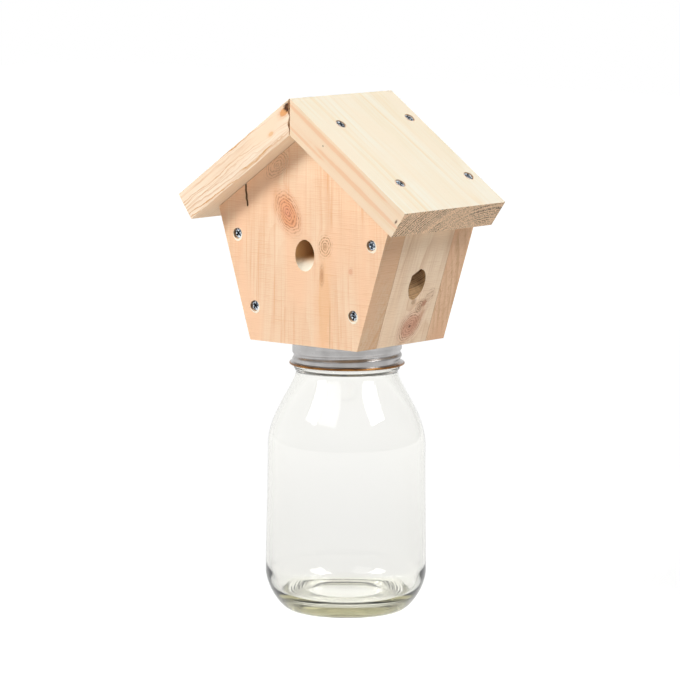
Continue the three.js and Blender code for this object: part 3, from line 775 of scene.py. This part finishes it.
# Floor board. Pine like the panels, cut to fit between the leaning side panels. It closes the house
# under the chamber, and its drop hole stands over the jar's mouth. The lid is screwed up to it.
drop_radius = 15 * mm
drop_overrun = 5 * mm
tray_foot = side_foot - joint_gap
tray_outline = [(-tray_foot, tray_low.z), (tray_foot, tray_low.z), (tray_high.x, tray_high.z),
                (-tray_high.x, tray_high.z)]
tray_middle = Vector((0, house_y, tray_low.z))
floor_pine = pine("pine_floor", tray_middle, Vector((1, 0, 0)), -upright, side_pine_tones,
                  pith=(6.0, -40.0), drift=0.05, ring=4.0, seed=21.0)
drop_rings = [(-drop_overrun, drop_radius), (board + drop_overrun, drop_radius)]
drop_cutter = drilled(tray_middle, upright, drop_rings, bore_facets, roughness=0.004)
boarded("floor_board", prism(tray_outline, tray_low.y, tray_high.y), [(drop_cutter, None)], floor_pine)

# Roof boards. Two pale boards mitred at the ridge, flush behind and reaching out in front, each
# held by four screws down into the panels. The mitre's front edge is a little ragged from the saw.
mitre_steps = 17
mitre_rag = {1: 0.4 * mm, -1: 1.7 * mm}
roof_front = 58.7
roof_screw_runs = (28 * mm, 88 * mm)
roof_head_sunk = 0.35 * mm
roof_looks = {
    1: dict(tones=((0.89, 0.83, 0.69), (0.86, 0.70, 0.47), (0.90, 0.79, 0.62)), pith=(-34.0, -74.0),
            drift=0.02, ring=4.2, seed=32.0, streaks=0.5, columns=0.9, saw=0.3, edge=(1.0, 0.87, 0.79)),
    # The left board's underside is painted paler, as painted light from below
    -1: dict(tones=((0.97, 0.82, 0.66), (0.66, 0.34, 0.13), (0.96, 0.74, 0.54)), pith=(20.0, -70.0),
             drift=-0.05, ring=1.6, seed=30.0, lines=1.25, thin=0.6, wave=(0.06, 3.2), streaks=0.7,
             columns=0.3, saw=0.2, inner=(0.99, 0.79, 0.57)),
}
pin_knot = dict(tone=(0.13, 0.06, 0.03), dark=(0.02, 0.01, 0.006), rings=2.0, line=0.9, swell=1.0)
stripe = dict(tone=(0.84, 0.52, 0.30), dark=(0.84, 0.52, 0.30), rings=1.0, body=0.45, line=0.0,
              halo=0.12, swell=0.0, rough=0.6)
roof_knots = {
    1: [dict(pin_knot, at=(roof_front, 113.3, -8.7), size=(5.0, 0.7, 1.4), rings=4.0, body=0.6),
        dict(pin_knot, at=(roof_front, 39.3, -7.3), size=(3.0, 0.5, 0.4), body=0.4, line=0.3),
        dict(stripe, at=(roof_front, 45.0, -3.2), size=(7.0, 60.0, 1.5)),
        dict(stripe, at=(roof_front, 78.0, -11.6), size=(7.0, 50.0, 1.7)),
        dict(stripe, at=(roof_front, 25.0, -14.6), size=(7.0, 22.0, 1.0))],
    -1: [dict(pin_knot, at=(-roof_front, 8.6, -4.6), size=(6.0, 4.4, 2.4), body=0.75, line=0.2,
              tone=(0.82, 0.34, 0.09), dark=(0.55, 0.22, 0.06)),
         dict(pin_knot, at=(-roof_front, 26.2, -10.2), size=(6.0, 2.4, 1.3), body=0.6, line=0.1,
              tone=(0.88, 0.50, 0.22), dark=(0.70, 0.36, 0.14)),
         dict(pin_knot, at=(-roof_front, 5.0, -3.4), size=(8.0, 2.4, 2.2), rings=1.9, body=0.98,
              tone=(0.16, 0.06, 0.025))],
}


def roof_outline(side):
    slope = Vector((math.cos(roof_pitch), -math.sin(roof_pitch)))
    inward = Vector((-math.sin(roof_pitch), -math.cos(roof_pitch)))
    mitre_x = roof_low.x
    top = Vector((mitre_x, ridge - mitre_x * math.tan(roof_pitch)))
    foot = Vector((mitre_x, under_ridge - mitre_x * math.tan(roof_pitch)))
    eave = Vector((0, ridge)) + slope * roof_run
    outline = [tuple(top), tuple(eave), tuple(eave + inward * board), tuple(foot)]
    for step in range(1, mitre_steps):
        share = step / mitre_steps
        outline.append((mitre_x + mitre_rag[side] * rag.random(), foot.y + (top.y - foot.y) * share))
    return [(side * x, z) for x, z in outline]


def roof_screw_places(side):
    places = []
    outward = Vector((side * math.sin(roof_pitch), 0, math.cos(roof_pitch)))
    for run in roof_screw_runs:
        for y in (panel_low.y + board / 2, rear_high.y - board / 2):
            head = Vector((side * run * math.cos(roof_pitch), y, ridge - run * math.sin(roof_pitch)))
            places.append((head, outward))
    return places


roof_screws = {side: roof_screw_places(side) for side in (1, -1)}
for side, word in ((1, "right"), (-1, "left")):
    down_slope = Vector((side * math.cos(roof_pitch), 0, -math.sin(roof_pitch)))
    out = Vector((side * math.sin(roof_pitch), 0, math.cos(roof_pitch)))
    roof_pine = pine(f"pine_{word}_roof", Vector((0, house_y, ridge)), down_slope, out,
                     knots=roof_knots[side], **roof_looks[side])
    boarded(f"{word}_roof_board", prism(roof_outline(side), roof_low.y, roof_high.y),
            screw_seats(roof_screws[side], roof_head_sunk), roof_pine)

# Wood screws. Countersunk, zinc plated, with a cross recess, 3.5 by 32 mm. Each one is driven a
# little below the face, turned at random, and has raised a thin burr of torn pale fibres, whose paleness on
# one side is partly a painted highlight.
head_height = 2.1 * mm
shank_radius = 1.75 * mm
shank_root = shank_radius * 0.72
screw_length = 32 * mm
screw_tip = 4 * mm
bare_neck = 5 * mm
thread_rise = 1.6 * mm
thread_share = 0.22
thread_depth = 0.28 * shank_radius
screw_facets = 20
recess_reach = 2.3 * mm
recess_half = 0.62 * mm
recess_depth = 2.0 * mm
burr_facets = 40
burr_height = 0.16 * mm
# The side where the burr is widest and palest, as a painted highlight
burr_side = 4.9
quarter_turn = math.pi / 2


def zinc_finish():
    zinc = Finish("zinc_plate")
    cloud = zinc.noise(zinc.place["Object"], 900, 3.0)
    dent = zinc.noise(zinc.place["Object"], 520, 1.0)
    # Bright and near-black patches of plating are painted glints and painted shade on the heads
    colour = zinc.mix(zinc.ramp(cloud, 0.45, 0.57), (0.66, 0.72, 0.78), (0.06, 0.07, 0.085))
    return zinc.coated(colour, zinc.ramp(cloud, 0.3, 0.7, 0.10, 0.22), (dent, 0.8, 0.35 * mm),
                       Metallic=1.0)


def lathe(profile, facets, centre=Vector((0, 0, 0)), shaped=None):
    """A closed round bmesh about an upright axis. The profile's ends lie on the axis, or meet."""
    made = bmesh.new()
    on_axis = profile[0][0] < 1e-9
    rows = []
    for radius, height in profile[1:-1] if on_axis else profile:
        row = []
        for facet in range(facets):
            angle = full_turn * facet / facets
            reach, lift = shaped(angle, radius, height) if shaped else (radius, height)
            point = Vector((reach * math.cos(angle), reach * math.sin(angle), lift))
            row.append(made.verts.new(centre + point))
        rows.append(row)
    skin(made, rows, closed=not on_axis)
    if on_axis:
        for (radius, height), row in ((profile[0], rows[0]), (profile[-1], rows[-1])):
            tip = made.verts.new(centre + Vector((0, 0, height)))
            for facet in range(facets):
                made.faces.new((tip, row[facet], row[(facet + 1) % facets]))
    bmesh.ops.recalc_face_normals(made, faces=made.faces)
    return made


def cross_recess(top):
    """A cutter for the cross recess: two tapered wings, which cross over a pointed middle."""
    cutter = bmesh.new()
    corners = ((-1, -1), (1, -1), (1, 1), (-1, 1))
    for wing in range(2):
        turn = Matrix.Rotation(wing * quarter_turn, 3, "Z")
        rows = []
        for share, height in ((1.15, recess_depth * 0.4), (1.0, 0.0), (0.55, -recess_depth)):
            size = (recess_reach * share, recess_half * (0.75 + 0.25 * share))
            rows.append([cutter.verts.new(turn @ Vector((x * size[0], y * size[1], top + height)))
                         for x, y in corners])
        capped(cutter, rows)
    return cutter


def shank(length, neck, root, tip, steps):
    """Profile of a shank from its point up to a neck this far below the head's top."""
    heights = [-length + (length - neck) * step / steps for step in range(1, steps + 1)]
    return [(0, -length)] + [(root * min(1, (height + length) / tip), height) for height in heights]


def threaded(length, top, rise, share, depth, tip):
    """Raises a sharp thread, whose flank takes this share of its rise, from the tip to its top."""
    def shaped(angle, radius, height):
        if not -length < height < top:
            return radius, height
        turns = (height / rise - angle / full_turn) % 1
        crest = max(0, 1 - abs(turns - 0.5) / share)
        return radius + depth * crest * min(1, (height + length) / tip), height
    return shaped


def screw_shape(name, profile, head_top, shaped):
    """One screw with its point down, and the recess cut into its head."""
    blank = object_of(name + "_blank", lathe(profile, screw_facets, shaped=shaped))
    tool = object_of(name + "_tool", cross_recess(head_top))
    cut_from(blank, tool).use_self = True
    made = settled(blank, name)
    bpy.data.objects.remove(tool)
    smoothed(made, sharp=30)
    return made


def countersunk():
    """The threaded shank, the bare neck, the cone, and the rim and flat top of the head."""
    profile = shank(screw_length, head_height, shank_root, screw_tip, steps=64)
    profile += [(screw_head_radius * 0.97, -0.35 * mm), (screw_head_radius, -0.2 * mm),
                (screw_head_radius * 0.985, -0.04 * mm), (screw_head_radius * 0.96, 0),
                (screw_head_radius * 0.5, 0), (0, 0)]
    thread = threaded(screw_length, -head_height - bare_neck, thread_rise, thread_share,
                      thread_depth, screw_tip)
    return screw_shape("countersunk_screw", profile, 0, thread)


def burr_shape():
    """A ragged low ring of pale fibres pushed up round a screw head, most of all on one side, where its
    paleness is a painted highlight for the lit wall of the seat.
    """
    made = bmesh.new()
    rows = []
    section = ((0.0, -0.25), (0.05, 0.55), (0.45, 1.0), (1.0, -0.25))
    for facet in range(burr_facets):
        angle = full_turn * facet / burr_facets
        lobe = (0.5 + 0.5 * math.cos(angle - burr_side)) ** 3
        tall = burr_height * lobe * rag.uniform(0.6, 1.2) + 0.02 * mm
        wide = (0.1 + 1.6 * lobe) * mm * rag.uniform(0.75, 1.15)
        row = []
        for out, up in section:
            reach = seat_radius + wide * out
            row.append(made.verts.new((reach * math.cos(angle), reach * math.sin(angle), tall * up)))
        rows.append(row)
    skin(made, rows, closed=True)
    bmesh.ops.recalc_face_normals(made, faces=made.faces)
    return object_of("fibre_burr", made)


def placing_tree():
    """Sets one shape on every point, its Z axis along the point's outward attribute."""
    tree = bpy.data.node_groups.new("set_on_places", "GeometryNodeTree")
    sockets = (("Places", "Geometry"), ("Shape", "Object"), ("Sink", "Float"), ("Least Turn", "Float"),
               ("Most Turn", "Float"), ("Seed", "Int"), ("Finish", "Material"))
    for name, kind in sockets:
        tree.interface.new_socket(name, in_out="INPUT", socket_type="NodeSocket" + kind)
    tree.interface.new_socket("Set", in_out="OUTPUT", socket_type="NodeSocketGeometry")
    recipe = Recipe(tree)
    given = recipe.add("NodeGroupInput").outputs
    points = recipe.add("GeometryNodeMeshToPoints", {"Mesh": given["Places"]})
    shape = recipe.add("GeometryNodeObjectInfo", {"Object": given["Shape"]})
    outward = recipe.add("GeometryNodeInputNamedAttribute", {"Name": "outward"}, data_type="FLOAT_VECTOR")
    aligned = recipe.add("FunctionNodeAlignRotationToVector", {"Vector": outward.outputs[0]}, axis="Z")
    angle = recipe.add("FunctionNodeRandomValue", {
        "Min": given["Least Turn"], "Max": given["Most Turn"], "Seed": given["Seed"]}, data_type="FLOAT")
    twist = recipe.add("FunctionNodeAxisAngleToRotation", {"Axis": (0, 0, 1)})
    recipe.put(twist.inputs["Angle"], [o for o in angle.outputs if o.type == "VALUE" and o.enabled][0])
    turned = recipe.add("FunctionNodeRotateRotation", {
        "Rotation": aligned.outputs[0], "Rotate By": twist.outputs[0]}, rotation_space="LOCAL")
    copies = recipe.add("GeometryNodeInstanceOnPoints", {
        "Points": points.outputs[0], "Instance": shape.outputs["Geometry"],
        "Rotation": turned.outputs[0]})
    offset = recipe.add("ShaderNodeCombineXYZ", {"Z": recipe.math("MULTIPLY", given["Sink"], -1.0)})
    sunk = recipe.add("GeometryNodeTranslateInstances", {
        "Instances": copies.outputs[0], "Translation": offset.outputs[0]})
    real = recipe.add("GeometryNodeRealizeInstances", {"Geometry": sunk.outputs[0]})
    coated = recipe.add("GeometryNodeSetMaterial", {
        "Geometry": real.outputs[0], "Material": given["Finish"]})
    recipe.put(recipe.add("NodeGroupOutput").inputs["Set"], coated.outputs[0])
    return tree


set_on_places = placing_tree()


def set_pieces(name, places, shape, finish, seed, sink=0.0, turn=(0.0, 1.57)):
    """One mesh with the shape at each place, sunk into the face and turned between two angles."""
    mesh = bpy.data.meshes.new(name + "_places")
    mesh.from_pydata([point for point, _ in places], [], [])
    outward = mesh.attributes.new("outward", "FLOAT_VECTOR", "POINT")
    outward.data.foreach_set("vector", [value for _, way in places for value in way])
    holder = bpy.data.objects.new(name + "_places", mesh)
    bpy.context.scene.collection.objects.link(holder)
    modifier = holder.modifiers.new("placing", "NODES")
    modifier.node_group = set_on_places
    inputs = {"Shape": shape, "Finish": finish, "Seed": seed, "Sink": sink,
              "Least Turn": turn[0], "Most Turn": turn[1]}
    for item in set_on_places.interface.items_tree:
        if item.in_out == "INPUT" and item.name in inputs:
            modifier[item.identifier] = inputs[item.name]
    made = settled(holder, name)
    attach(made, "house")
    return made


zinc_plate = zinc_finish()
wood_screw = countersunk()
burr = burr_shape()
screw_groups = (
    ("front_panel", front_screws, head_sunk, ("left", "right"), 5),
    ("back_panel", back_screws, head_sunk, ("left", "right"), 9),
    ("right_roof", roof_screws[1], roof_head_sunk, ("front", "back"), 13),
    ("left_roof", roof_screws[-1], roof_head_sunk, ("front", "back"), 17),
)
for word, places, sunk, ends, seed in screw_groups:
    nodes = [f"{word}_screw_{row}_{end}" for row in ("lower", "upper") for end in ends]
    screws = set_pieces(word + "_screws", places, wood_screw, zinc_plate, seed, sunk)
    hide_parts(*nodes)
    burrs = set_pieces(word + "_burrs", places, burr, torn_pine, seed + 1, turn=(-0.5, 0.7))

# Lid. A tinplate disc with a hole in the middle, gold lacquered inside, with its ring of sealing
# compound under the rim. Four short pan head screws hold it up against the floor board.
disc_low, disc_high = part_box("lid_disc")
seal_low, seal_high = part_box("lid_seal")
disc_hole = 14 * mm
disc_wall = 0.5 * mm
disc_step = 29.7 * mm
disc_rim_round = 0.2 * mm
seal_width = 3.2 * mm
seal_corner = 0.3 * mm
round_facets = 160
pan_radius = 3.3 * mm
pan_height = 2 * mm
pan_length = 12 * mm
pan_tip = 2.5 * mm
pan_root = shank_radius * 0.74
pan_bare_neck = 0.6 * mm
pan_thread_rise = 1.3 * mm
pan_thread_share = 0.24
pan_thread_depth = 0.26 * shank_radius


def lacquer_finish(name, light, dark):
    lacquer = Finish(name)
    cloud = lacquer.noise(lacquer.place["Object"], 120, 4.0)
    colour = lacquer.mix(lacquer.ramp(cloud, 0.3, 0.7), light, dark)
    return lacquer.coated(colour, lacquer.ramp(cloud, 0.3, 0.7, 0.25, 0.36), Metallic=0.85)


disc_top = disc_high.z
rim_top = disc_low.z + disc_wall
rim_radius = disc_high.x
disc_profile = [
    (disc_hole, disc_top - disc_wall), (disc_step - disc_wall * 1.6, disc_top - disc_wall),
    (disc_step - disc_wall * 0.6, disc_top - disc_wall * 1.35), (disc_step, disc_low.z),
    (rim_radius - disc_rim_round, disc_low.z), (rim_radius, disc_low.z + 0.12 * mm),
    (rim_radius, rim_top - 0.12 * mm), (rim_radius - disc_rim_round, rim_top),
    (disc_step + disc_wall, rim_top), (disc_step + disc_wall * 0.6, disc_top - disc_wall * 0.3),
    (disc_step - disc_wall * 0.2, disc_top), (disc_hole, disc_top),
]
disc = object_of("lid_disc_tin", lathe(disc_profile, round_facets, axis),
                 lacquer_finish("gold_lacquer", (0.72, 0.56, 0.30), (0.62, 0.45, 0.20)), sharp=35)
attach(disc, "house")
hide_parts("lid_disc")


def compound_finish():
    compound = Finish("sealing_compound")
    grain = compound.noise(compound.place["Object"], 1500, 3.0)
    colour = compound.mix(compound.ramp(grain, 0.3, 0.7), (0.16, 0.16, 0.155), (0.10, 0.10, 0.10))
    return compound.coated(colour, compound.ramp(grain, 0.3, 0.7, 0.55, 0.75), (grain, 0.3, 0.05 * mm))


def arc(radius, height, reach, first, last, steps):
    """Points of a profile on an arc round a radius and height, between two angles."""
    angles = [first + (last - first) * step / steps for step in range(steps + 1)]
    return [(radius + reach * math.cos(angle), height + reach * math.sin(angle)) for angle in angles]


def seal_profile():
    """The section of a flat ring with four round corners."""
    points = []
    outer = seal_high.x - seal_corner
    inner = seal_high.x - seal_width + seal_corner
    top = seal_high.z - seal_corner
    foot = seal_low.z + seal_corner
    for quarter, (radius, height) in enumerate(((outer, top), (inner, top), (inner, foot), (outer, foot))):
        points += arc(radius, height, seal_corner, quarter * quarter_turn,
                      (quarter + 1) * quarter_turn, 5)
    return points


seal = object_of("lid_seal_ring", lathe(seal_profile(), round_facets, axis), compound_finish())
seal.data.shade_smooth()
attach(seal, "house")
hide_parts("lid_seal")


def pan_head():
    """A short self-tapping screw: the threaded shank, the flat seat and the domed head."""
    profile = shank(pan_length, 0.02 * mm, pan_root, pan_tip, steps=36)
    profile += [(pan_radius, 0), (pan_radius, pan_height * 0.35)]
    for step in range(1, 7):
        angle = step / 6 * quarter_turn
        profile.append((pan_radius * (0.62 + 0.38 * math.cos(angle)),
                        pan_height * (0.35 + 0.65 * math.sin(angle))))
    profile.append((0, pan_height))
    thread = threaded(pan_length, -pan_bare_neck, pan_thread_rise, pan_thread_share,
                      pan_thread_depth, pan_tip)
    return screw_shape("pan_head_screw", profile, pan_height, thread)


lid_screw_nodes = [f"lid_screw_{number}" for number in (1, 2, 3, 4)]
lid_places = []
for node in lid_screw_nodes:
    low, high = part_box(node)
    middle = (low + high) / 2
    lid_places.append((Vector((middle.x, middle.y, low.z + pan_height)), Vector((0, 0, -1))))
pan_screw = pan_head()
lid_screws = set_pieces("lid_screws", lid_places, pan_screw, zinc_plate, seed=23)
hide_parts(*lid_screw_nodes)
for template in (wood_screw, burr, pan_screw):
    bpy.data.objects.remove(template)

# Screw band. Thin satin tinplate, rolled with a right-handed thread, a flange over the lid's rim and
# a curl at the foot, where the gold lacquer of the inside shows, painted darker there as shade.
band_low, band_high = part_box("screw_band")
band_height = band_high.z - band_low.z
band_facets = 192
band_body = 35.7 * mm
band_wall = 0.5 * mm
band_bulge = 0.35 * mm
band_opening = 30.8 * mm
band_foot = 2.2 * mm
band_corner = 1.1 * mm
bulge_rise = 0.9 * mm
shoulder_foot = band_height - 3.4 * mm
curl_radius = 0.8 * mm
groove_depth = 1.0 * mm
groove_half = 2.4 * mm
groove_turns = 1.5
groove_rise = 2.7 * mm
thread_pitch = 5.08 * mm
thread_start = math.radians(-10)
thread_fade = math.radians(35)


def eased(share):
    return share * share * (3 - 2 * share)


def along_thread(angle, height, start_height, turns, half_width):
    """How far up the flank of the thread a place is, from 0 beside it to 1 on its crest."""
    share = 0.0
    length = turns * full_turn
    wound = (angle - thread_start) % full_turn
    while wound < length:
        crest = start_height + thread_pitch * wound / full_turn
        off = abs(height - crest) / half_width
        faded = eased(min(1, min(wound, length - wound) / thread_fade))
        if off < 1:
            share = max(share, faded * (1 + math.cos(math.pi * off)) / 2)
        wound += full_turn
    return share


def band_profile():
    """Section of the band: round the curl, up the outside, over the flange and down the inside."""
    outer = band_body + band_bulge
    corner = (outer - band_corner, band_height - band_corner)
    wall_rise = shoulder_foot - band_foot
    shares = [step / 5 for step in range(1, 6)]
    points = arc(band_high.x - curl_radius, curl_radius, curl_radius, math.pi, 2.5 * math.pi, 14)
    points += [(band_body, band_foot + wall_rise * step / 47) for step in range(48)]
    points += [(band_body + band_bulge * eased(share), shoulder_foot + bulge_rise * share)
               for share in shares]
    points += arc(*corner, band_corner, 0, quarter_turn, 8)
    points += [(band_opening, band_height), (band_opening, band_height - band_wall)]
    points += arc(*corner, band_corner - band_wall, quarter_turn, 0, 8)
    points += [(outer - band_wall - band_bulge * eased(share), shoulder_foot + bulge_rise * (1 - share))
               for share in shares]
    points += [(band_body - band_wall, shoulder_foot - wall_rise * (step + 0.5) / 48)
               for step in range(48)]
    return [(radius, height + band_low.z) for radius, height in points]


def rolled(angle, radius, height):
    above = height - band_low.z
    if band_foot < above < shoulder_foot and radius > band_body - 2 * band_wall:
        radius -= groove_depth * along_thread(angle, above, groove_rise, groove_turns, groove_half)
    return radius, height


def tin_finish():
    """Satin tinplate, rolled round the band, so its fine lines run round it."""
    tin = Finish("satin_tin")
    spot = tin.stretched(tin.place["Object"], (1000, 1000, 1000), tuple(-1000 * value for value in axis))
    x, y, z = tin.parts(spot)
    around = tin.math("ARCTAN2", y, x)
    lines = tin.add("ShaderNodeCombineXYZ", {"X": around * 3.0, "Z": z * 9.0})
    brushed = tin.noise(lines.outputs[0], 1.0, 3.0)
    cloud = tin.noise(spot, 0.12, 3.0)
    colour = tin.mix(tin.ramp(cloud, 0.3, 0.7), (0.50, 0.49, 0.485), (0.43, 0.42, 0.415))
    rough = tin.ramp(cloud, 0.3, 0.7, 0.28, 0.34) + tin.ramp(brushed, 0.3, 0.7, -0.02, 0.02)
    return tin.coated(colour, rough, (brushed, 0.05, 0.02 * mm), Metallic=1.0)


band = object_of("rolled_band", lathe(band_profile(), band_facets, axis, rolled), tin_finish(), sharp=50)
# The curl takes a darker copy of the gold lacquer: partly its own colour, partly painted shade under the
# band
band.data.materials.append(lacquer_finish("curl_lacquer", (0.42, 0.20, 0.06), (0.20, 0.09, 0.03)))
curl_top = band_low.z + 2 * curl_radius
for face in band.data.polygons:
    if face.center.z < curl_top - 0.1 * mm:
        face.material_index = 1
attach(band, "band")
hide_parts("screw_band")

# Jar. Clear pressed soda glass, 2.8 mm thick, with a pushed-up base that has faint ripples, a bead
# under the raised thread and a fire-polished lip. It only stands on its narrow base ring.
jar_facets = 160
glass_wall = 2.8 * mm
body_radius = (jar_high.x - jar_low.x) / 2
body_taper = 1.0 * mm
neck_radius = 33.4 * mm
mouth_radius = 30 * mm
foot_radius = 37 * mm
base_ring = 3 * mm
push_up = 4.5 * mm
floor_height = 10.5 * mm
floor_radius = 40 * mm
mound_radius = 25 * mm
mound_dip = 0.8 * mm
ripple_height = 0.16 * mm
ripple_pitch = 2.1 * mm
ripple_steps = 90
outer_heel = 26 * mm
inner_heel = 20 * mm
heel_pull = 5 * mm
heel_lift = 0.54
jar_top = jar_high.z
body_top = jar_top - 66.8 * mm
shoulder_pull = 20 * mm
neck_root = jar_top - 18.8 * mm
neck_pull = 9 * mm
neck_flare = 1.4 * mm
bead_height = jar_top - 15.4 * mm
bead_bulge = 1.25 * mm
bead_half = 2.2 * mm
lip_round = 1.2 * mm
raised_turns = 1.1
raised_height = 1.5 * mm
raised_half = 1.35 * mm
uneven_depth = 0.10 * mm
uneven_around = 1.3
uneven_upwards = 14
uneven_low = 8 * mm
uneven_high = bead_height - 6 * mm
uneven_fade = 20 * mm
same_point = 0.02 * mm


def bezier(start, start_handle, end_handle, end, steps):
    points = []
    for step in range(steps + 1):
        t = step / steps
        weights = ((1 - t) ** 3, 3 * t * (1 - t) ** 2, 3 * t * t * (1 - t), t ** 3)
        ends = (start, start_handle, end_handle, end)
        points.append(tuple(sum(w * p[i] for w, p in zip(weights, ends)) for i in (0, 1)))
    return points


def heel(ring_radius, foot, drop, wall):
    """The round corner from the base up to the body."""
    body = body_radius - wall
    return bezier((ring_radius, foot), (ring_radius + heel_pull, foot),
                  (body, foot + drop * heel_lift), (body, foot + drop), 24)


def body_side(low, wall, steps=16):
    """The side of the body, which narrows a little towards the shoulder."""
    shares = [step / steps for step in range(1, steps)]
    return [(body_radius - body_taper * eased(share) - wall, low + (body_top - low) * share)
            for share in shares]


def shoulder(neck, wall):
    wide = body_radius - body_taper - wall
    return bezier((wide, body_top), (wide, body_top + shoulder_pull),
                  (neck + neck_flare, neck_root - neck_pull), (neck, neck_root), 28)


def pushed_up(radius):
    """The base underneath, from the axis out to its ring: a shallow dome with a steep rim."""
    angles = [quarter_turn * (1 - step / 26) for step in range(27)]
    return [(radius * math.cos(angle) ** 0.6, push_up * math.sin(angle) ** 0.8) for angle in angles]


def rippled_floor():
    """Inside, a low mound with a nearly flat ring of ripples round it, from the axis outwards."""
    points = []
    for step in range(21):
        fall = (1 + math.cos(math.pi * step / 20)) / 2
        points.append((mound_radius * step / 20, floor_height - mound_dip * fall))
    width = floor_radius - mound_radius
    for step in range(1, ripple_steps + 1):
        share = step / ripple_steps
        ripple = math.sin(full_turn * width * share / ripple_pitch) * min(1, 8 * share, 8 * (1 - share))
        points.append((mound_radius + width * share, floor_height + ripple_height * ripple))
    return points


def bead():
    points = []
    for step in range(13):
        share = step / 12
        lift = bead_bulge * math.sin(math.pi * share) ** 1.3
        points.append((neck_radius + lift, bead_height + bead_half * (2 * share - 1)))
    return points


def lip():
    """The neck above the bead, and the round lip down to the inside of the mouth."""
    low = bead_height + bead_half
    high = jar_top - lip_round
    points = [(neck_radius, low + (high - low) * step / 40) for step in range(1, 41)]
    points += arc(neck_radius - lip_round, high, lip_round, 0, quarter_turn, 8)
    return points + arc(mouth_radius + lip_round, high, lip_round, quarter_turn, math.pi, 8)


def jar_profile():
    """The outside from the base's middle up to the lip, and the inside back down to its floor."""
    outside = pushed_up(foot_radius - base_ring) + heel(foot_radius, 0, outer_heel, 0)
    outside += body_side(outer_heel, 0) + shoulder(neck_radius, 0) + bead() + lip()
    inside = rippled_floor() + heel(floor_radius, floor_height, inner_heel, glass_wall)
    inside += body_side(floor_height + inner_heel, glass_wall) + shoulder(mouth_radius, glass_wall)
    chain = []
    for point in outside + inside[::-1]:
        if not chain or math.dist(chain[-1], point) > same_point:
            chain.append(point)
    return chain


def pressed(angle, radius, height):
    """The thread on the neck and the slight unevenness of pressed glass."""
    outer_neck = radius > (neck_radius + mouth_radius) / 2
    if outer_neck and bead_height + bead_half < height < jar_top - lip_round:
        start = band_low.z + groove_rise + thread_pitch / 2
        radius += raised_height * along_thread(angle, height, start, raised_turns, raised_half)
    uneven = noise.noise(Vector((math.cos(angle) * uneven_around, math.sin(angle) * uneven_around,
                                 height * uneven_upwards)))
    above_foot = min(1, max(0, (height - uneven_low) / uneven_fade))
    below_bead = min(1, max(0, (uneven_high - height) / uneven_fade))
    return radius + uneven_depth * uneven * (above_foot * below_bead), height


def glass_finish():
    """Clear glass with the faint yellow-green of thick soda glass, and a light shadow."""
    glass = Finish("clear_glass")
    clear = glass.add("ShaderNodeBsdfPrincipled", {"Base Color": white})
    clear.inputs["Roughness"].default_value = 0.0
    clear.inputs["IOR"].default_value = 1.50
    clear.inputs["Transmission Weight"].default_value = 1.0
    light_shadow = glass.add("ShaderNodeBsdfTransparent", {"Color": (0.93, 0.94, 0.93)})
    rays = glass.add("ShaderNodeLightPath").outputs
    tint = glass.add("ShaderNodeVolumeAbsorption", {"Color": (0.86, 0.85, 0.745)})
    tint.inputs["Density"].default_value = 56.0
    glass.plug(tint, into="Volume")
    return glass.plug(glass.blend(rays["Is Shadow Ray"], clear, light_shadow))


jar = object_of("clear_jar", lathe(jar_profile(), jar_facets, axis, pressed), glass_finish())
jar.data.shade_smooth()
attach(jar, "jar")
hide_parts("glass_jar")
